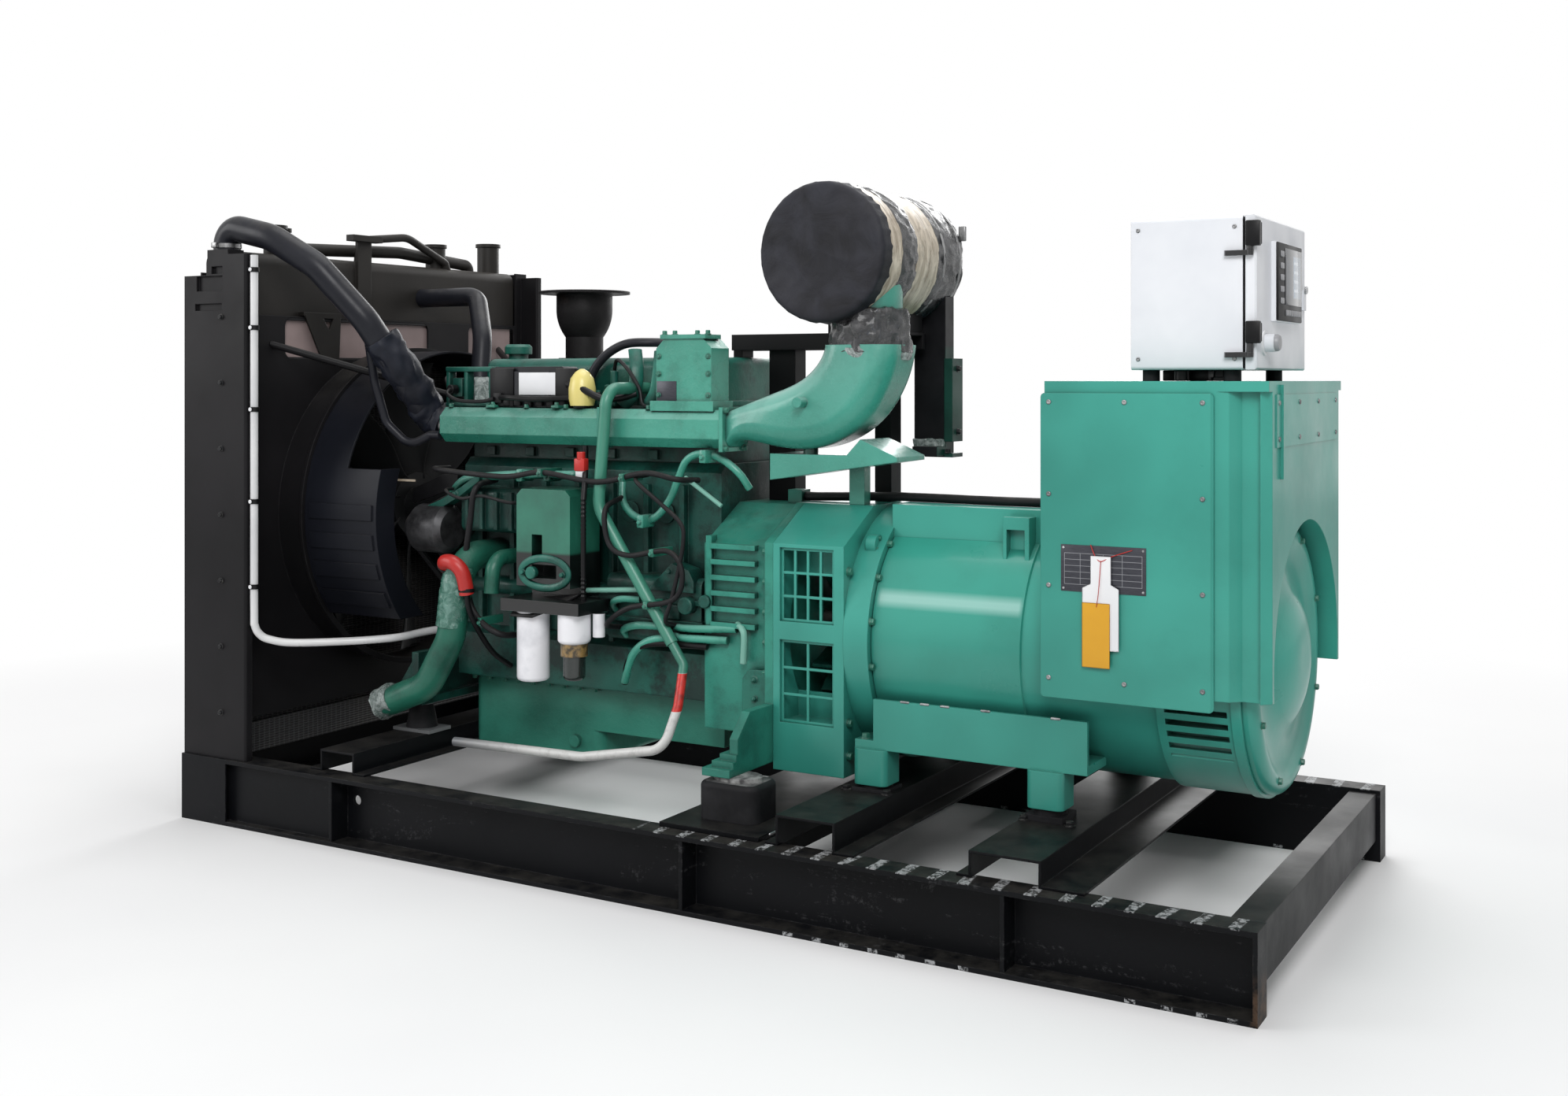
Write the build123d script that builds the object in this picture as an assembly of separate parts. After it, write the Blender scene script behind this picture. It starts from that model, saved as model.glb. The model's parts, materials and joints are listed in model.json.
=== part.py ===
from build123d import *
import math
import os

# Diesel generator set on a steel base frame. X runs from the radiator to the alternator,
# -Y is the intake side, +Z is up, and the origin is under the middle of the frame. Millimetres.

# Base frame
frame_length = 3200
frame_width = 1400
rail_height = 194
flange_width = 75
flange_thickness = 12
web_thickness = 8
stiffener_thickness = 10
closed_length = 610
lift_hole_radius = 14
end_member_height = 126
end_member_width = 70
member_height = 61
middle_member_height = 74
member_plate = 6
member_inset = 50
flywheel_plate = 12

# Shaft line, feet and rubber mounts
shaft_height = 640
mount_radius = 48
mount_y = 300
mount_block_length = 170
mount_block_width = 135
mount_block_height = 94
mount_block_y = 507
shim = 11
engine_foot_drop = 295
pad_drop = 355
foot_rail_drop = 265
foot_thickness = 22

# Radiator at the front of the frame
radiator_depth = 188
radiator_height = 1700
radiator_side_width = 20
front_step = 75
core_margin = 60
post_width = 74
post_depth = 30
tank_height = 190
header_height = 130
cap_radius = 34
fan_rise = 265
fan_radius = 465
fan_hub_radius = 60
blade_count = 8
blade_thickness = 9
blade_clearance = 30
sheet = 6
duct_depth = 110
guard_depth = 290
guard_top_depth = 155
guard_drop = 40

# Engine
engine_gap = 45
engine_length = 980
timing_case = 60
block_half_width = 230
skirt_half_width = 260
block_drop = 210
block_rise = 440
head_height = 160
head_half_width = 200
cover_height = 138
cover_half_width = 165
sump_drop = 435
sump_half_width = 190
sump_length = 480
crank_pulley = 105
fan_pulley = 95
charger_pulley = 38
belt_thickness = 9
belt_width = 19
charger_radius = 72
charger_y = -330
housing_length = 230

# Intake
manifold_width = 130
manifold_lift = 48
manifold_height = 104
elbow_bend = 190
elbow_mouth = 210
collar_radius = 85
cleaner_radius = 180
cleaner_length = 490
cleaner_rise = 1005
cleaner_near_y = -330
platform_drop = 202
dust_duct_length = 95

# Alternator
adapter_length = 210
adapter_half_width = 340
adapter_rise = 340
adapter_drop = 348
adapter_bore = 285
adapter_wall = 14
cooling_fan_radius = 240
vane_count = 16
shaft_radius = 70
ring_length = 70
stator_radius = 320
stator_length = 740
bracket_length = 200
end_cover_length = 70
box_drop = 49
box_height = 720
box_half_width = 380
box_length = 526
box_overhang = 276
harness_radius = 12

# Control cabinet
cabinet_depth = 262
cabinet_width = 483
cabinet_height = 352
cabinet_wall = 3
cabinet_setback = 185
cabinet_y = -300
cabinet_lift = 26
door_thickness = 25
door_gap = 6
hinge_pin = 4
hinge_knuckle = 8

# Fits
seat = 0.3

# Places along X, from the radiator to the end of the alternator
frame_front = -frame_length / 2
frame_rear = frame_length / 2
rad_front = frame_front
rad_rear = rad_front + radiator_depth
shroud_x = rad_rear + seat
duct_start = shroud_x + sheet
duct_end = duct_start + duct_depth
guard_x = duct_end + seat
guard_end = guard_x + guard_depth
block_front = guard_end + engine_gap
block_rear = block_front + engine_length
housing_rear = block_rear + housing_length
adapter_rear = housing_rear + adapter_length
ring_rear = adapter_rear + ring_length
stator_rear = ring_rear + stator_length
bracket_rear = stator_rear + bracket_length
box_rear = stator_rear + box_overhang
box_x = box_rear - box_length

# Places across and up
rail_outer = frame_width / 2
rail_inner = rail_outer - flange_width
member_half = rail_outer - member_inset
member_top = rail_height + member_height
middle_member_top = rail_height + middle_member_height
plate_top = rail_height + flywheel_plate
fan_z = shaft_height + fan_rise
block_bottom = shaft_height - block_drop
block_top = shaft_height + block_rise
head_top = block_top + head_height
cover_top = head_top + cover_height
engine_foot_z = shaft_height - engine_foot_drop
pad_top = shaft_height - pad_drop
foot_rail_z = shaft_height - foot_rail_drop
adapter_top = shaft_height + adapter_rise
adapter_bottom = shaft_height - adapter_drop
manifold_y = -head_half_width - manifold_width
manifold_bottom = block_top + manifold_lift
manifold_top = manifold_bottom + manifold_height
cleaner_x = housing_rear + 142
cleaner_z = shaft_height + cleaner_rise
cleaner_far_y = cleaner_near_y + cleaner_length
platform_top = cleaner_z - platform_drop

os.makedirs("parts", exist_ok=True)


def block(x0, x1, y0, y1, z0, z1):
    """A box between two corners."""
    middle = Pos((x0 + x1) / 2, (y0 + y1) / 2, (z0 + z1) / 2)
    return middle * Box(abs(x1 - x0), abs(y1 - y0), abs(z1 - z0))


def rod(start, end, radius):
    """A round bar between two points."""
    start, end = Vector(*start), Vector(*end)
    run = end - start
    plane = Plane(origin=start, z_dir=run.normalized())
    return extrude(plane * Circle(radius), run.length)


def tube(points, radius, bend, bore=0):
    """A round pipe along straight runs joined by tangent arcs."""
    path = FilletPolyline(*points, radius=bend)
    start = Plane(origin=path @ 0, z_dir=path % 0)
    pipe = sweep(start * Circle(radius), path=path)
    if bore:
        pipe -= sweep(start * Circle(bore), path=path)
    return pipe


def hull_plate(x, length, *discs):
    """A plate along X whose outline wraps round discs of (y, z, radius)."""
    edges = []
    for y, z, radius in discs:
        edges += (Pos(y, z) * Circle(radius)).edges()
    return extrude(Plane.YZ.offset(x) * make_hull(edges), length, dir=(1, 0, 0))


def profile_plate(y0, y1, *points):
    """A flat plate between two places in Y, from an outline of (x, z) points."""
    face = Plane.XZ.offset(-y1) * make_face(Polyline(*points, close=True))
    return extrude(face, abs(y1 - y0), dir=(0, -1, 0))


def save(name, *solids):
    """Write one named piece."""
    shape = solids[0] if len(solids) == 1 else Compound(children=list(solids))
    export_step(shape, "parts/" + name + ".step")


# Mount places under the engine, the flywheel housing and the alternator
front_member = (block_front - 115, block_front + 15)
flywheel_x = block_rear + 226
flywheel_member = (flywheel_x - 145, flywheel_x + 145)
middle_x = ring_rear + 5
middle_member = (middle_x - 96, middle_x + 65)
rear_x = stator_rear - 265
rear_member = (rear_x - 62, rear_x + 111)
stiffener_places = (frame_front + closed_length, flywheel_x - 51, rear_x + 38)


def side_rail(side):
    """A channel rail that opens outwards, with stiffeners and a plated front length."""
    outside = Pos(side * (rail_inner + flange_width / 2), rail_height / 2)
    outside *= Rectangle(flange_width, rail_height)
    hollow = Pos(side * (rail_inner + web_thickness + flange_width / 2), rail_height / 2)
    hollow *= Rectangle(flange_width, rail_height - 2 * flange_thickness)
    rail = extrude(Plane.YZ.offset(frame_front) * (outside - hollow), frame_length)
    inner = side * rail_inner
    outer = side * rail_outer
    for x in stiffener_places:
        rail += block(x - stiffener_thickness / 2, x + stiffener_thickness / 2, inner, outer - side * 4,
                      flange_thickness, rail_height - flange_thickness)
    closing = outer - side * flange_width / 3
    rail += block(frame_front, stiffener_places[0], closing - side * sheet, closing, flange_thickness / 2,
                  rail_height - flange_thickness / 2)
    rail += block(frame_front, rad_rear, outer - side * sheet, outer, 0, rail_height)
    rail += block(frame_rear - stiffener_thickness, frame_rear, inner, outer, 0, rail_height)
    hole_x = stiffener_places[0] + 3 * lift_hole_radius
    hole_z = 0.62 * rail_height
    return rail - rod((hole_x, outer, hole_z), (hole_x, inner - side, hole_z), lift_hole_radius)


def end_member(x0, x1):
    """A channel between the webs of the two rails, with its flanges inwards."""
    low = rail_height - end_member_height - web_thickness
    inside = 1 if x0 < 0 else -1
    face = x0 if x0 < 0 else x1
    member = block(x0, x1, -rail_inner, rail_inner, low, low + end_member_height)
    member -= block(face + inside * member_plate, face + inside * (end_member_width + 5), -rail_inner,
                    rail_inner, low + member_plate, low + end_member_height - member_plate)
    return member


def hat_member(x0, x1, top, front_lip, rear_lip):
    """An open hat section that lies across both rails, with a lip on each side."""
    member = block(x0, x1, -member_half, member_half, rail_height, top)
    member -= block(x0 + member_plate, x1 - member_plate, -member_half, member_half, rail_height,
                    top - member_plate)
    lip_top = rail_height + member_plate
    member += block(x0 - front_lip, x0 + 1, -member_half, member_half, rail_height, lip_top)
    member += block(x1 - 1, x1 + rear_lip, -member_half, member_half, rail_height, lip_top)
    return member


def plate_member(x0, x1):
    """A flat plate across both rails, stiffened by two webs between them."""
    member = block(x0, x1, -member_half, member_half, rail_height, plate_top)
    web_half = rail_inner - seat
    for x in (x0 + 40, x1 - 40 - member_plate):
        member += block(x, x + member_plate, -web_half, web_half, rail_height - 90, rail_height)
    return member


def cone_mount(x, y, low, high):
    """A bonded rubber mount: base plate, tapered rubber and top washer."""
    plate = 10
    body = Pos(x, y, low + plate / 2) * Box(3 * mount_radius, 2 * mount_radius, plate)
    height = high - low - 2 * plate
    body += Pos(x, y, low + plate + height / 2) * Cone(mount_radius, mount_radius * 0.72, height)
    body += Pos(x, y, high - plate / 2) * Cylinder(mount_radius * 0.8, plate)
    return body


def block_mount(x, y, low):
    """A rounded rubber block with an oval shim on top."""
    top = low + mount_block_height
    body = Pos(x, y, low + mount_block_height / 2)
    body *= Box(mount_block_length, mount_block_width, mount_block_height)
    body = fillet(body.edges().filter_by(Axis.Z), mount_block_width / 4)
    body = fillet(body.edges().group_by(Axis.Z)[-1], mount_block_width / 10)
    oval = Plane.XY.offset(top) * Pos(x, y) * Ellipse(mount_block_length * 0.4, mount_block_width * 0.34)
    return body + extrude(oval, shim)


def pad_mount(x, y, low, high):
    """A low square pad under a foot."""
    half = (high - low) / 2
    plate = block(x - mount_radius, x + mount_radius, y - mount_radius, y + mount_radius, low, low + half)
    return plate + Pos(x, y, high - half / 2) * Cylinder(mount_radius * 0.85, half)


# Base frame
save("rail_near", side_rail(-1))
save("rail_far", side_rail(1))
save("front_end_member", end_member(frame_front, frame_front + end_member_width))
save("rear_end_member", end_member(frame_rear - stiffener_thickness - end_member_width,
                                   frame_rear - stiffener_thickness))
save("engine_front_member", hat_member(*front_member, member_top, 40, 40))
save("cross_member_flywheel", plate_member(*flywheel_member))
save("cross_member_middle", hat_member(*middle_member, middle_member_top, 30, 50))
save("cross_member_rear", hat_member(*rear_member, member_top, 30, 100))
mounts = []
for side in (-1, 1):
    mounts.append(cone_mount(sum(front_member) / 2, side * mount_y, member_top, engine_foot_z))
    mounts.append(block_mount(flywheel_x, side * mount_block_y, plate_top))
    mounts.append(pad_mount(middle_x, side * mount_y, middle_member_top, pad_top))
    mounts.append(pad_mount(rear_x, side * mount_y, member_top, pad_top))

# Radiator
side_y = rail_outer - 10
core_half = side_y - core_margin
tank_low = radiator_height - tank_height
header_low = tank_low - header_height
front_top = radiator_height - front_step
core_front = rad_front + 40
core_rear = rad_rear - 20
tank_rear = core_rear + 8
tank_mid = (core_front - 15 + tank_rear) / 2


def radiator_side(side):
    """A folded side panel with a front and a rear return, standing on the rail."""
    inner, outer = side * (side_y - radiator_side_width), side * side_y
    panel = block(rad_front, rad_rear, inner, outer, rail_height, radiator_height)
    for x0, x1 in ((rad_front, rad_front + web_thickness), (rad_rear - web_thickness, rad_rear)):
        panel += block(x0, x1, side * (core_half + seat), outer, rail_height, radiator_height)
    panel -= block(rad_front - 1, core_front + 60, side * (core_half - 1), outer + side, front_top,
                   radiator_height + 1)
    panel += block(rad_front, core_front + 60, side * (core_half + seat), outer, front_top - sheet, front_top)
    recess = outer - side * radiator_side_width / 2
    for x0, x1, z0, z1 in ((54, 165, 122, 78), (118, 165, 72, 50), (47, 162, 180, 160)):
        panel -= block(rad_front + x0, rad_front + x1, recess, outer + side, radiator_height - z0,
                       radiator_height - z1)
    post = block(rad_rear, rad_rear + post_width, outer - side * post_depth, outer, rail_height,
                 radiator_height - 15)
    return panel + fillet(post.edges().filter_by(Axis.Z).group_by(Axis.X)[-1], 8)


save("radiator_side_near", radiator_side(-1))
save("radiator_side_far", radiator_side(1))
base_height = 90
core = block(core_front, core_rear, -core_half, core_half, rail_height + base_height, tank_low)
core += block(core_front - 15, tank_rear, -core_half, core_half, rail_height, rail_height + base_height)
for i in range(9):
    z = rail_height + base_height + 120 + i * 110
    core += block(core_front - 5, core_rear + 3, -core_half, core_half, z, z + 10)
save("radiator_core", core)

# The charge air cooler's header, seen through two windows above the fan
header = block(core_rear + 3 + seat, rad_rear - 4, -core_half + 30, core_half - 30, header_low - 4,
               tank_low - seat)
header = fillet(header.edges().filter_by(Axis.Y).group_by(Axis.X)[-1], 5)
save("charge_air_header", header)

# Top tank with its filler, caps, cross pipe, lifting post and gusset
tank = block(core_front - 15, tank_rear, -core_half, core_half, tank_low, radiator_height)
tank = fillet(tank.edges().filter_by(Axis.Y).group_by(Axis.Z)[-1], 35)
for y, radius, height in ((-430, cap_radius, 84), (-392, cap_radius * 0.6, 78), (300, cap_radius, 75),
                          (core_half - 50, cap_radius * 1.15, 96)):
    tank += Pos(tank_mid, y, radiator_height + height / 2) * Cylinder(radius, height)
    tank += Pos(tank_mid, y, radiator_height + height + 4) * Cylinder(radius * 1.15, 12)
pipe_z = radiator_height + 26
tank += tube([(tank_mid, -350, radiator_height - 5), (tank_mid, -350, pipe_z), (tank_mid, 120, pipe_z + 20),
              (tank_mid, 470, pipe_z - 4), (tank_mid, 470, radiator_height - 5)], 20, [22, 200, 22])
tank += tube([(tank_mid + 45, -120, radiator_height - 5), (tank_mid + 45, -110, radiator_height + 70),
              (tank_mid + 45, 110, radiator_height + 95), (tank_mid + 45, 300, radiator_height + 20),
              (tank_mid + 45, 310, radiator_height - 5)], 13, [60, 110, 20])
lift_post = (-160, -100)
tank += block(tank_rear - 1, rad_rear - seat, *lift_post, tank_low + 2, radiator_height + 74)
tank += block(tank_rear - 1, rad_rear + 20, lift_post[0] - 40, lift_post[1] + 30, radiator_height + 60,
              radiator_height + 80)
gusset = Plane.YZ.offset(duct_start + seat) * make_face(Polyline(
    (-405, tank_low + 14), (-248, tank_low + 14), (-256, header_low - 8), (-325, header_low - 8), close=True))
gusset -= Plane.YZ.offset(duct_start + seat) * make_face(Polyline(
    (-322, tank_low - 4), (-280, tank_low - 4), (-299, tank_low - 40), close=True))
tank += extrude(gusset, sheet, dir=(1, 0, 0))
tank += block(tank_rear - 1, duct_start + seat + sheet, -405, -248, tank_low + 2, tank_low + 14)
save("radiator_top_tank", tank)

grille_margin = 60
grille_rows = 11
grille_columns = 5
grille_low = rail_height + grille_margin
grille_high = radiator_height - grille_margin
row_pitch = (grille_high - grille_low - 40) / grille_rows
column_pitch = (2 * core_half - 40) / grille_columns
grille = block(rad_front, rad_front + sheet, -core_half, core_half, grille_low, grille_high)
for i in range(grille_rows):
    for j in range(grille_columns):
        y = -core_half + 20 + j * column_pitch
        z = grille_low + 20 + i * row_pitch
        grille -= block(rad_front - 1, rad_front + sheet + 1, y + 12, y + column_pitch - 12, z + 12,
                        z + row_pitch - 12)
save("front_grille", grille)

# Fan shroud: a plate with two windows above a round duct
duct_inner = fan_radius + blade_clearance
duct_outer = duct_inner + sheet
shroud_top = tank_low - seat
shroud = block(shroud_x, duct_start, -core_half, core_half, rail_height + base_height + 20, shroud_top)
for y0, y1 in ((-core_half + 155, 160), (365, core_half - 20)):
    window = block(shroud_x - 1, duct_start + 1, y0, y1, header_low, shroud_top - 6)
    shroud -= fillet(window.edges().filter_by(Axis.X), 26)
duct = rod((shroud_x, 0, fan_z), (duct_end, 0, fan_z), duct_outer)
duct += rod((duct_end - 12, 0, fan_z), (duct_end, 0, fan_z), duct_outer + 12)
shroud += duct
shroud -= rod((shroud_x - 1, 0, fan_z), (duct_end + 1, 0, fan_z), duct_inner)
save("fan_shroud", shroud)


def blade(angle):
    """A twisted blade lofted from root to tip, turned to its place round the hub."""
    sections = []
    for share, chord, pitch in ((0.18, 110, 52), (0.55, 150, 38), (1.0, 175, 26)):
        turn = math.radians(pitch)
        plane = Plane(origin=(fan_x, 0, fan_z + share * fan_radius),
                      x_dir=(math.sin(turn), math.cos(turn), 0), z_dir=(0, 0, 1))
        sections.append(plane * Ellipse(chord / 2, blade_thickness / 2))
    turned = Pos(0, 0, fan_z) * Rot(angle, 0, 0) * Pos(0, 0, -fan_z)
    return turned * loft(Sketch() + sections)


# Fan on the engine's front hub
fan_x = duct_start + duct_depth * 0.55
hub_end = block_front - 60
fan = rod((fan_x - 40, 0, fan_z), (hub_end, 0, fan_z), fan_hub_radius)
fan += rod((fan_x - 38, 0, fan_z), (fan_x + 38, 0, fan_z), fan_hub_radius * 1.75)
for i in range(blade_count):
    fan += blade(i * 360 / blade_count)
save("fan", fan)

# Fan guard: a sheet hood over the fan drive, open below, with raised bands on its flanks
guard_low = shaft_height - guard_drop
guard_step = fan_z + 145


def guard_skin(outer, inner, x0, x1):
    """A round skin about the fan's axis."""
    skin = rod((x0, 0, fan_z), (x1, 0, fan_z), outer)
    return skin - rod((x0 - 1, 0, fan_z), (x1 + 1, 0, fan_z), inner)


guard = guard_skin(duct_outer, duct_inner, guard_x, guard_end)
guard += guard_skin(duct_inner + 1, duct_inner - 70, guard_end - sheet, guard_end)
for i in range(4):
    band = guard_skin(duct_outer + 5, duct_inner, guard_x + 20, guard_end - 15)
    low = guard_low + 35 + i * 88
    guard += band & block(guard_x, guard_end, -2 * duct_outer, 2 * duct_outer, low, low + 46)
guard -= block(guard_x - 1, guard_end + 1, -2 * duct_outer, 2 * duct_outer, 0, guard_low)
guard -= block(guard_x + guard_top_depth, guard_end + 1, -2 * duct_outer, 2 * duct_outer, guard_step,
               fan_z + 2 * duct_outer)
save("fan_guard", guard)

# Stay rods from the shroud to the front of the cylinder head
stay_radius = 11
stay_start = duct_start + seat
stay_end = block_front + 70 - seat
stays = []
for side in (-1, 1):
    stay = rod((stay_start - 60, side * (core_half - 60), tank_low - 68),
               (stay_end + 60, side * 93, head_top - 28), stay_radius)
    stays.append(stay & block(stay_start, stay_end, -side_y, side_y, block_top, radiator_height))
save("stay_rods", *stays)

# Cylinder block: crankcase with skirt, timing case, ribs, galleries, side covers and front feet
side_front = block_front + timing_case
engine = block(side_front, block_rear, -block_half_width, block_half_width, block_bottom, block_top)
engine = chamfer(engine.edges().filter_by(Axis.X).group_by(Axis.Z)[-1], 25)
skirt_top = block_bottom + 150
skirt = block(side_front, block_rear, -skirt_half_width, skirt_half_width, block_bottom, skirt_top)
engine += chamfer(skirt.edges().filter_by(Axis.X).group_by(Axis.Z)[-1], 24)
coolant_inlet = (-190, shaft_height - 95)
engine += hull_plate(block_front, timing_case, (0, shaft_height, 172), (0, fan_z, 110), (-150, 700, 60),
                     (150, 720, 70), (*coolant_inlet, 32))
rib_pitch = engine_length / 7.5
rib_depth = 22
for i in range(7):
    x = side_front + 70 + i * (rib_pitch - 10)
    for side in (-1, 1):
        engine += block(x, x + 16, side * (block_half_width - 5), side * (block_half_width + rib_depth),
                        skirt_top - 12, block_top - 60)
        plug = x + rib_pitch / 2
        if i < 6:
            engine += rod((plug, side * (block_half_width - 2), block_top - 140),
                          (plug, side * (block_half_width + 9), block_top - 140), 30)
gallery_z = shaft_height + 62
gallery_radius = 27
for side in (-1, 1):
    y = side * (block_half_width + 4)
    engine += rod((side_front + 20, y, gallery_z), (block_rear - 20, y, gallery_z), gallery_radius)
front_feet = mount_y + 70
engine += block(block_front - 25, block_front, -front_feet, front_feet, engine_foot_z, engine_foot_z + 155)
engine += block(*front_member, -front_feet, front_feet, engine_foot_z, engine_foot_z + foot_thickness)
for side in (-1, 1):
    for y in (mount_y - 62, front_feet - 12):
        gusset_x = (front_member[0] + 10, block_front - 20)
        gusset = profile_plate(side * y - 6, side * y + 6, (gusset_x[0], engine_foot_z + 20),
                               (gusset_x[1], engine_foot_z + 20), (gusset_x[1], engine_foot_z + 140))
        engine += gusset
pulley_front = block_front - 52
engine += rod((hub_end, 0, fan_z), (block_front + 5, 0, fan_z), fan_hub_radius * 1.2)
engine += rod((pulley_front, 0, fan_z), (pulley_front + 26, 0, fan_z), fan_pulley)
engine += rod((pulley_front, 0, shaft_height), (pulley_front + 26, 0, shaft_height), crank_pulley)
engine += rod((pulley_front, 0, shaft_height), (block_front + 5, 0, shaft_height), crank_pulley * 0.55)
cooler_y = -skirt_half_width - 50
cooler = block(block_rear - 330, block_rear - 14, cooler_y, -block_half_width + 5, skirt_top + 6,
               skirt_top + 190)
cooler = fillet(cooler.edges().filter_by(Axis.X).group_by(Axis.Y)[0], 24)
for z in (skirt_top + 62, skirt_top + 120):
    cooler += block(block_rear - 345, block_rear - 4, cooler_y - 12, -block_half_width + 5, z, z + 13)
engine += cooler
pump_y = -block_half_width - 85
pump = block(side_front + 60, side_front + 290, pump_y, -block_half_width + 5, block_top - 215,
             block_top - 85)
engine += fillet(pump.edges().filter_by(Axis.X).group_by(Axis.Y)[0], 20)
for i in range(4):
    x = side_front + 84 + i * 55
    engine += block(x, x + 12, pump_y - 14, pump_y + 2, block_top - 205, block_top - 95)
save("cylinder_block", engine)

# Belt round the crank, fan and charger pulleys
charger_z = fan_z - 35
pulleys = ((0, shaft_height, crank_pulley), (0, fan_z, fan_pulley), (charger_y, charger_z, charger_pulley))
belt_x = pulley_front + (26 - belt_width) / 2
belt = hull_plate(belt_x, belt_width, *[(y, z, r + seat + belt_thickness) for y, z, r in pulleys])
belt -= hull_plate(belt_x - 1, belt_width + 2, *[(y, z, r + seat) for y, z, r in pulleys])
save("drive_belt", belt)

# Charging alternator beside the front of the block
charger_rear = pulley_front + 152
charger = rod((pulley_front, charger_y, charger_z), (pulley_front + 26, charger_y, charger_z), charger_pulley)
charger += rod((pulley_front, charger_y, charger_z), (pulley_front + 40, charger_y, charger_z), 16)
charger += rod((pulley_front + 34, charger_y, charger_z), (charger_rear, charger_y, charger_z),
               charger_radius)
charger = chamfer(charger.edges().filter_by(GeomType.CIRCLE).group_by(Axis.X)[-1], 16)
for i in range(12):
    turn = Pos(0, charger_y, charger_z) * Rot(i * 30, 0, 0)
    slot = block(pulley_front + 30, pulley_front + 44, -7, 7, charger_radius * 0.45, charger_radius * 0.85)
    charger -= turn * slot
charger += block(side_front + 8, charger_rear - 6, charger_y, -block_half_width - seat, charger_z - 22,
                 charger_z + 22)
save("charging_alternator", charger)

# Oil sump: a deep front well and a shallow rear pan under a bolting flange
sump_front = side_front + 2
sump_rear = sump_front + sump_length
sump_bottom = shaft_height - sump_drop
sump_flange = 12
sump = block(sump_front, sump_rear, -sump_half_width, sump_half_width, sump_bottom,
             block_bottom - sump_flange)
sump = fillet(sump.edges().filter_by(Axis.Z), 30)
sump = fillet(sump.edges().group_by(Axis.Z)[0], 14)
sump += block(sump_rear - 40, block_rear - 15, -sump_half_width, sump_half_width, sump_bottom + 85,
              block_bottom - sump_flange)
sump += block(sump_front - 1, block_rear - 10, -sump_half_width - 25, sump_half_width + 25,
              block_bottom - sump_flange, block_bottom)
sump += rod((sump_rear - 90, -sump_half_width - 14, sump_bottom + 50),
            (sump_rear - 90, -sump_half_width + 2, sump_bottom + 50), 18)
save("oil_sump", sump)

# Cylinder head with port bosses, and the thermostat housing on its front
head_front = block_front + 70
head_rear = block_rear - 20
head = block(head_front, head_rear, -head_half_width, head_half_width, block_top, head_top)
head_pitch = (head_rear - head_front) / 6
for i in range(6):
    x = head_front + head_pitch * (i + 0.5)
    port = block(x - 42, x + 42, head_half_width - 2, head_half_width + 14, block_top + 20, head_top - 50)
    head += fillet(port.edges().filter_by(Axis.Y), 16)
    lug = block(x - 16, x + 16, -head_half_width - 12, -head_half_width + 2, block_top + 8, block_top + 34)
    head += lug
thermostat = block(head_front - 74, head_front + 1, -62, 62, block_top + 30, head_top - 20)
thermostat = fillet(thermostat.edges().filter_by(Axis.X), 26)
head += thermostat
save("cylinder_head", head)

# Rocker cover with a raised rim, a crowned top, bolt lugs and the filler
cover_front = block_front + 80
cover_rear = block_rear - 30
rocker = block(cover_front, cover_rear, -cover_half_width, cover_half_width + 10, head_top, cover_top)
rocker = fillet(rocker.edges().filter_by(Axis.X).group_by(Axis.Z)[-1], 34)
rocker = fillet(rocker.edges().filter_by(Axis.Z), 20)
rocker += block(cover_front - 6, cover_rear + 6, -cover_half_width - 8, cover_half_width + 18, head_top,
                head_top + 14)
for i in range(7):
    x = cover_front + 30 + i * (cover_rear - cover_front - 60) / 6
    for y in (-cover_half_width - 4, cover_half_width + 14):
        rocker += Pos(x, y, head_top + 16) * Cylinder(14, 32)
filler_x = cover_front + 55
rocker += Pos(filler_x, -70, cover_top + 6) * Cylinder(30, 20)
filler = Pos(filler_x, -70, cover_top + 30) * Cylinder(42, 30)
rocker += chamfer(filler.edges().group_by(Axis.Z)[-1], 8)
save("rocker_cover", rocker)


def bell(x, length, half_width, low, high, corner):
    """A flat-sided housing along X with its two upper corners cut off."""
    drop = corner * 0.56
    outline = [(-half_width, low), (-half_width, high - drop), (-half_width + corner, high),
               (half_width - corner, high), (half_width, high - drop), (half_width, low)]
    face = make_face(Plane.YZ.offset(x) * Polyline(*outline, close=True))
    return extrude(face, length, dir=(1, 0, 0))


# Flywheel housing with cooling ribs, side plates and its stacked feet
foot_low = plate_top + mount_block_height + shim
housing_low = shaft_height - 268
housing = bell(block_rear, housing_length, adapter_half_width - 25, housing_low, adapter_top - 8, 180)
for i in range(6):
    z = shaft_height + 10 + i * 42
    for side in (-1, 1):
        housing += block(block_rear + 30, housing_rear - 60, side * 300, side * (adapter_half_width - 5), z,
                         z + 14)
        housing += block(block_rear + 12, block_rear + 30, side * 300, side * (adapter_half_width - 12),
                         z - 20, z + 34)
housing += bell(housing_rear - 26, 26, adapter_half_width, adapter_bottom + 30, adapter_top, 170)
socket_x = (housing_rear - 84, housing_rear - 40)
socket_y, socket_z = -92, adapter_top + harness_radius + seat
housing += block(*socket_x, socket_y - 24, socket_y + 24, adapter_top - 9, socket_z + harness_radius + 6)
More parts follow.
